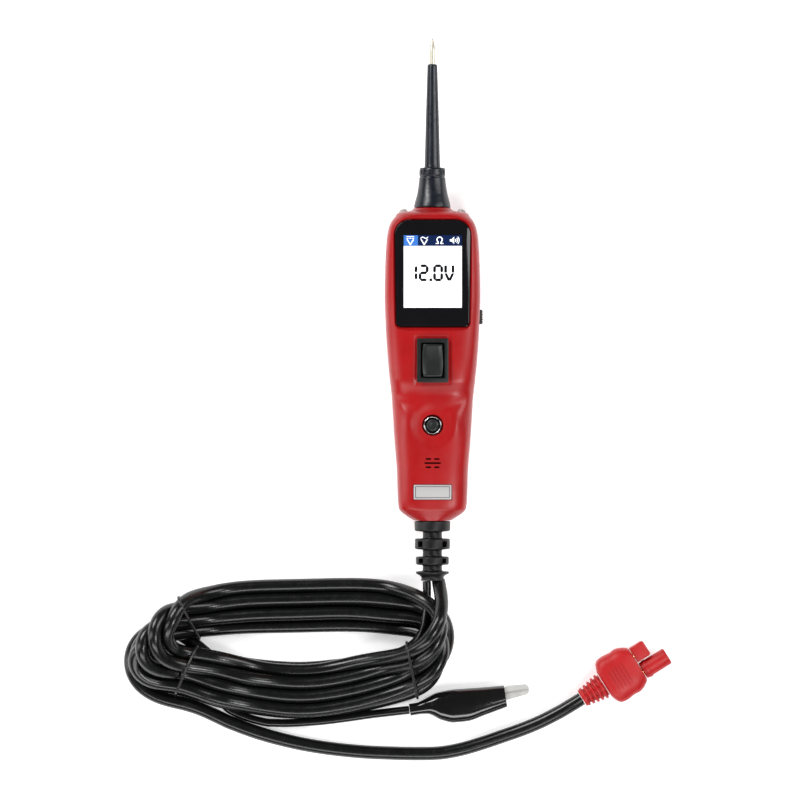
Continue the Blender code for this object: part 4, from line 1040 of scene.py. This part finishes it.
paddle_loops = []
for i in range(PADDLE_ROWS + 1):
    v = -PADDLE_HALF + 2 * PADDLE_HALF * i / PADDLE_ROWS
    half = 4.95 - 0.55 * (v / PADDLE_HALF) ** 2
    top = paddle_top(v)
    foot = -4.0 + 3.0 * max(0.0, (abs(v) - 6.6) / 1.0)
    paddle_loops.append([(-half, v, foot), (half, v, foot), (half, v, top - 0.55),
                         (half - 0.12, v, top - 0.2), (half - 0.45, v, top - 0.02),
                         (half * 0.5, v, top - 0.04), (0, v, top - 0.06), (-half * 0.5, v, top - 0.04),
                         (-half + 0.45, v, top - 0.02), (-half + 0.12, v, top - 0.2),
                         (-half, v, top - 0.55)])
paddle = piece_of("rocker_key", placed(loft("paddle", paddle_loops), (0, ROCKER_Y, ROCKER_PIVOT_Z)),
                  SWITCH_PLASTIC, "rocker")
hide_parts("rocker_paddle")


# ---------------------------------------------------------------- push buttons
CHROME = finish_of("chrome", (0.28, 0.28, 0.28), (0.38, 0.38, 0.38), (0.14, 0.22), 700, 0.000003, 1.0)
ring = [(3.4, 29.0), (4.4, 29.0), (4.4, 31.6), (4.2, 31.95), (3.95, 32.1), (3.65, 31.95), (3.4, 31.4)]
ring_piece = piece_of("mode_ring", placed(turned("ring", ring, 96, True, 0.15), (0, MODE_Y, 0)), CHROME)
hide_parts("mode_button_ring")
cap = [(0.0, 25.4), (1.6, 25.4), (1.6, 26.3), (4.3, 26.3), (4.3, 27.3), (3.1, 27.3), (3.1, 31.4),
       (2.9, 31.95), (2.4, 32.3), (1.9, 32.42), (1.35, 32.36), (0.7, 32.22), (0.0, 32.18)]
cap_piece = piece_of("mode_cap", placed(turned("cap", cap, 72, soften=0.2), (0, MODE_Y, 0)), SWITCH_PLASTIC,
                     "mode_key")
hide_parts("mode_button")
side_meshes = [rounded_box("key", (19.2, -3.5, -2.2), (23.8, 3.5, 2.2), 0.55),
               rounded_box("flange", (17.9, -4.5, -3.1), (19.6, 4.5, 3.1), 0.25)]
for i in range(5):
    y = -2.4 + 1.2 * i
    side_meshes.append(rounded_box("rib", (23.3, y - 0.28, -1.7), (24.1, y + 0.28, 1.7), 0.2, 2))
side_piece = piece_of("side_key_cap", placed(joined_mesh("side", side_meshes), (0, *SIDE_BUTTON)),
                      BLACK_PLASTIC, "side_key")
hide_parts("side_button")


# ---------------------------------------------------------------- headlights, plate and screws
for side, name in ((1, "right"), (-1, "left")):
    dome = [(0.0, -10), (2.1, -10), (2.1, -1.7), (2.02, -1.15), (1.8, -0.7), (1.45, -0.36), (1.0, -0.14),
            (0.5, -0.03), (0.0, 0.0)]
    lamp = piece_of(f"lamp_{name}", placed(turned("lamp", dome, 48, soften=0.1),
                                           (side * LED_TIP[0], LED_TIP[1], AXIS_Z), led_turns[side]), LENS)
    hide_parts(f"headlight_{name}")
plate_place = (0, PLATE_Y, PLATE_Z - 0.3)
plate_levels = [(box_outline(8.95, 3.5, 0.45), 0.0), (box_outline(8.95, 3.5, 0.45), 0.45),
                (box_outline(8.8, 3.35, 0.4), 0.58), (box_outline(8.65, 3.2, 0.35), 0.6)]
plate = piece_of("plate", placed(stacked("plate", plate_levels), plate_place, plate_turn), BRUSHED,
                 smooth=False)
groove_out, groove_in = box_outline(8.25, 2.8, 0.3), box_outline(7.95, 2.5, 0.25)
groove_levels = [(groove_out, 0.48), (groove_out, 1.0), (groove_in, 1.0), (groove_in, 0.48)]
groove = loft("groove", [[(x, y, z) for x, y in outline] for outline, z in groove_levels], wrap=True)
cut(plate, [placed(groove, plate_place, plate_turn)])
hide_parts("nameplate")
ENAMEL = finish_of("plate_border", (0.02, 0.015, 0.018), (0.035, 0.03, 0.032), (0.3, 0.4), 800, 0.000003)
line_out, line_in = box_outline(8.2, 2.75, 0.3), box_outline(8.0, 2.55, 0.25)
line_levels = [(line_out, 0.5), (line_out, 0.56), (line_in, 0.56), (line_in, 0.5)]
line = loft("line", [[(x, y, z) for x, y in outline] for outline, z in line_levels], wrap=True)
line_piece = piece_of("plate_line", placed(line, plate_place, plate_turn), ENAMEL, smooth=False)
for i, (x, y) in enumerate(SCREWS):
    head = turned("head", [(0.0, 1.75), (1.4, 1.62), (2.2, 1.78), (2.6, 2.3), (2.6, 3.3), (1.4, 3.3),
                           (1.4, 21.5), (0.5, 22.5), (0.0, 22.5)], 40, soften=0.12)
    screw = piece_of(f"screw_{i + 1}", placed(head, (x, y, 0)), STEEL, smooth=False)
    cross = [placed(rounded_box("slot", (-1.5, -0.28, 0.5), (1.5, 0.28, 2.6), 0.08, 1), (0, 0, 0),
                    Matrix.Rotation(math.radians(20 + 31 * i + 90 * k), 4, "Z")) for k in (0, 1)]
    cut(screw, [placed(mesh, (x, y, 0)) for mesh in cross])
    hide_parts(f"housing_screw_{i + 1}")


# ---------------------------------------------------------------- probe
def probe_piece(name, profile, look, node, sides, wrap=False, soften=0.25):
    """A piece turned about the probe's axis."""
    made = piece_of(name, placed(turned(name, profile, sides, wrap, soften), (0, 0, AXIS_Z), ALONG_Y), look)
    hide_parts(node)
    return made


rod = [(0.0, 50), (1.55, 50), (1.55, 151.0), (1.42, 152.0), (1.0, 153.9), (0.45, 155.8), (0.12, 156.5),
       (0.0, 156.6)]
probe_piece("needle", rod, PROBE_STEEL, "probe_rod", 48, soften=0.3)
sleeve = [(1.85, 76), (3.2, 76), (3.6, 90), (3.85, 94.6), (3.72, 95.6), (3.1, 120), (2.42, 142.6),
          (2.4, 143.2), (2.15, 143.8), (1.85, 143.8)]
probe_piece("needle_sleeve", sleeve, BLUE_BLACK, "probe_sleeve", 64, True)
boot = [(3.0, 66), (5.2, 66), (5.2, 75.3), (8.7, 75.3), (8.72, 75.9), (8.45, 77.4), (7.9, 79.4),
        (7.3, 81.6), (6.9, 83.8), (6.55, 86.2), (6.35, 88.2), (6.3, 89.4), (5.95, 89.75), (5.95, 90.35),
        (6.25, 90.7), (6.2, 93.4), (5.9, 94.2), (5.2, 94.3), (4.5, 93.9), (4.25, 93.2), (4.15, 90),
        (3.6, 75.6), (3.0, 75.6)]
boot_piece = probe_piece("needle_boot", boot, BLUE_BLACK, "probe_boot", 96, True, 0.2)
notches = []
for i in range(12):
    mesh = rounded_box("notch", (-0.5, 91.3, 5.75), (0.5, 93.0, 8.0), 0.15, 2)
    mesh.transform(Matrix.Rotation(math.tau * i / 12, 4, "Y"))
    notches.append(placed(mesh, (0, 0, AXIS_Z)))
cut(boot_piece, [joined_mesh("notches", notches)])


# ---------------------------------------------------------------- strain relief
relief_profile = [(4.0, 64), (7.4, 64), (7.4, 67), (6.2, 67), (6.2, 74.75), (8.5, 74.75), (8.6, 75.4),
                  (8.5, 79.0), (8.1, 79.5), (4.9, 79.8), (4.6, 80.3), (4.6, 82.6), (4.9, 83.0),
                  (8.1, 83.15), (8.4, 83.6), (8.4, 87.6), (8.1, 88.1), (4.9, 88.4), (4.6, 88.9),
                  (4.6, 91.2), (4.9, 91.6), (7.6, 91.75), (7.9, 92.2), (7.9, 95.0), (7.6, 95.5),
                  (4.9, 95.8), (4.6, 96.3), (4.6, 98.0), (5.0, 98.6), (7.7, 98.85), (7.95, 99.2),
                  (7.8, 99.9), (6.2, 100.6), (5.3, 101.6), (5.35, 102.6), (5.6, 103.2), (4.9, 103.2),
                  (4.0, 102.6)]
sleeve_piece = piece_of("cable_sleeve",
                        placed(turned("relief", relief_profile, 96, True, 0.3), (0, 0, AXIS_Z), ALONG_BACK),
                        BLACK_RUBBER, smooth=False)
windows = []
for y, depth in ((-85.6, 2.6), (-93.6, 2.0)):
    for turn in range(4):
        mesh = rounded_box("gap", (5.3, y - depth / 2 - 0.1, -1.5), (10.0, y + depth / 2 + 0.1, 1.5), 0.4,
                           3)
        mesh.transform(Matrix.Rotation(math.tau * (turn + 0.5) / 4, 4, "Y"))
        windows.append(placed(mesh, (0, 0, AXIS_Z)))
cut(sleeve_piece, [joined_mesh("windows", windows)])
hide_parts("strain_relief")
core = turned("core", [(0.0, 99.6), (4.05, 99.6), (4.05, 102.9), (0.0, 102.9)], 48, soften=0.2)
plug_end = piece_of("cable_sleeve_core", placed(core, (0, 0, AXIS_Z), ALONG_BACK), BLACK_RUBBER)


# ---------------------------------------------------------------- supply plug
# Its own frame has X along it and the round sleeve on the side of -Y
plug_at = Matrix.Translation((72.0, -160.2, 7.5)) @ Matrix.Rotation(math.radians(32), 4, "Z")
ALONG_X = Matrix.Rotation(math.pi / 2, 4, "Y")
ROUND_Y, SQUARE_Y = -4.3, 4.6
PLUG_POWER = 0.62  # squareness of the plug's section: 1 is an ellipse, 0 a rectangle


def plug_piece(name, mesh, node, smooth=True):
    """A piece of the plug, moved from the plug's frame to the row frame."""
    mesh.transform(plug_at)
    made = piece_of(name, mesh, RED_RUBBER, smooth=smooth)
    if node:
        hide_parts(node)
    return made


plug_table = [(12.6, 6.9, 5.5), (13.1, 8.2, 6.1), (14.2, 10.6, 6.8), (16.0, 11.8, 7.2), (18.0, 12.1, 7.3),
              (24.5, 12.1, 7.3), (27.0, 11.6, 7.2), (29.4, 10.4, 6.9), (31.0, 9.2, 6.5), (31.5, 8.4, 6.0)]
at = np.concatenate([np.linspace(12.6, 14.2, 8), np.linspace(14.6, 29.4, 40), np.linspace(29.8, 31.5, 8)])
plug_loops = []
for x, (half, height) in zip(at, monotone(plug_table, at)):
    turns = np.linspace(0, math.tau, 96, endpoint=False)
    waist = 1 - 0.035 * math.exp(-((x - 22.5) / 2.6) ** 2)
    plug_loops.append([(x, half * waist * math.copysign(abs(math.cos(a)) ** PLUG_POWER, math.cos(a)),
                        height * math.copysign(abs(math.sin(a)) ** PLUG_POWER, math.sin(a)))
                       for a in turns])
plug_body = plug_piece("plug_shell", loft("plug", plug_loops), "plug_body", smooth=False)
tools = []
for y in (ROUND_Y, SQUARE_Y):
    tools.append(placed(turned("bore", [(2.3, 20), (2.3, 40)], 32, soften=0), (0, y, 0), ALONG_X))
for x in (17.6, 19.4, 21.2, 23.0, 24.8):
    for z in (1, -1):
        groove = rounded_box("groove", (x - 0.28, -7.5, 6.95), (x + 0.28, 7.5, 9.0), 0.15, 2)
        if z < 0:
            groove.transform(Matrix.Rotation(math.pi, 4, "X"))
        tools.append(groove)
for tool in tools:
    tool.transform(plug_at)
cut(plug_body, [joined_mesh("plug_tools", tools)])
ribs = [(3.35, 0.0), (4.2, 0.0)]
for i in range(5):
    x, radius = 0.9 + 2.3 * i, 4.5 + 0.42 * i
    ribs += [(radius - 0.05, x), (radius + 0.25, x + 0.35), (radius + 0.25, x + 1.15),
             (radius - 0.75, x + 1.4), (radius - 0.7, x + 2.1)]
ribs += [(6.3, 12.3), (3.35, 12.3)]
plug_piece("plug_sleeve", placed(turned("ribs", ribs, 64, True, 0.12), (0, 0, 0), ALONG_X),
           "plug_strain_relief")
shroud = [(2.3, 31.8), (3.9, 31.8), (4.2, 32.2), (4.2, 45.0), (3.95, 45.6), (3.6, 45.7), (2.5, 45.7),
          (2.3, 45.4)]
plug_piece("plug_round_sleeve", placed(turned("round", shroud, 64, True, 0.15), (0, ROUND_Y, 0), ALONG_X),
           "plug_round_shroud")
collar = [(4.15, 33.2), (4.5, 33.3), (4.5, 34.9), (4.15, 35.0)]
plug_piece("plug_round_collar", placed(turned("collar", collar, 64, True, 0.1), (0, ROUND_Y, 0), ALONG_X),
           None)
square_levels = [(box_outline(3.9, 3.8, 0.5), 31.8), (box_outline(3.9, 3.85, 0.6), 38.2),
                 (box_outline(3.7, 3.6, 0.6), 38.9), (box_outline(3.2, 3.1, 0.5), 39.3)]
square = stacked("square", square_levels)
square.transform(Matrix.Rotation(math.pi / 2, 4, "Y"))
square_piece = plug_piece("plug_square_sleeve", placed(square, (0, SQUARE_Y, 0)), "plug_square_shroud",
                          smooth=False)
bore = placed(turned("bore", [(2.3, 20), (2.3, 60)], 40, soften=0), (0, SQUARE_Y, 0), ALONG_X)
bore.transform(plug_at)
cut(square_piece, [bore])


# ---------------------------------------------------------------- ground clip
# Its own frame has X along it, from the lead to the jaws
clip_at = Matrix.Translation((-10.8, -165.8, 5.4)) @ Matrix.Rotation(math.radians(9), 4, "Z")
clip_table = [  # x, upper y, lower y, half height
    (0.0, 2.9, -2.9, 2.9), (4.0, 3.0, -2.9, 2.95), (8.0, 4.2, -3.3, 3.3), (14.5, 6.3, -7.4, 4.9),
    (20.0, 6.55, -9.4, 5.35), (27.0, 6.1, -9.8, 5.35), (35.0, 5.4, -8.3, 5.3), (46.5, 4.6, -6.0, 4.9),
]
at = np.linspace(0, 46.5, 94)


def boot_rows(inset, order):
    """The vinyl sleeve's sections, moved inward by `inset`; an order of -1 takes them from the jaws back."""
    rows = []
    for x, (upper, lower, height) in list(zip(at, monotone(clip_table, at)))[::order]:
        middle, half = (upper + lower) / 2, (upper - lower) / 2 - inset
        power = 0.86 + 0.12 * math.exp(-(x / 7) ** 2)
        row = []
        for a in np.linspace(0, math.tau, 72, endpoint=False):
            c, s = math.cos(a), math.sin(a)
            row.append((x, middle + half * math.copysign(abs(c) ** power, c),
                        (height - inset) * math.copysign(abs(s) ** power, s)))
        rows.append(row)
    return rows


vinyl = loft("vinyl", boot_rows(0, 1) + boot_rows(0.7, -1), wrap=True)
vinyl.transform(clip_at)
vinyl_piece = piece_of("clip_sleeve", vinyl, GLOSSY_VINYL, None, sharp=50)
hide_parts("clip_boot")


# ---------------------------------------------------------------- finishes of the CAD pieces that stay
LOOK_OF_SLOT = {"red_rubber": RED_WIRE, "black_plastic": BLACK_PLASTIC, "black_rubber": BLACK_RUBBER,
                "cable_jacket": JACKET, "screen": SCREEN_BLACK, "steel": STEEL, "brass": BRASS,
                "aluminium": BRUSHED, "board": BOARD_GREEN, "clear_lens": LENS, "red_shell": RED_SHELL}
for part in frame["record"]["subparts"]:
    node = frame["nodes"][part["node"]]
    node.data.materials.clear()
    node.data.materials.append(LOOK_OF_SLOT[part["material_slot"]])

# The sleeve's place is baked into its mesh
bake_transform(vinyl_piece)
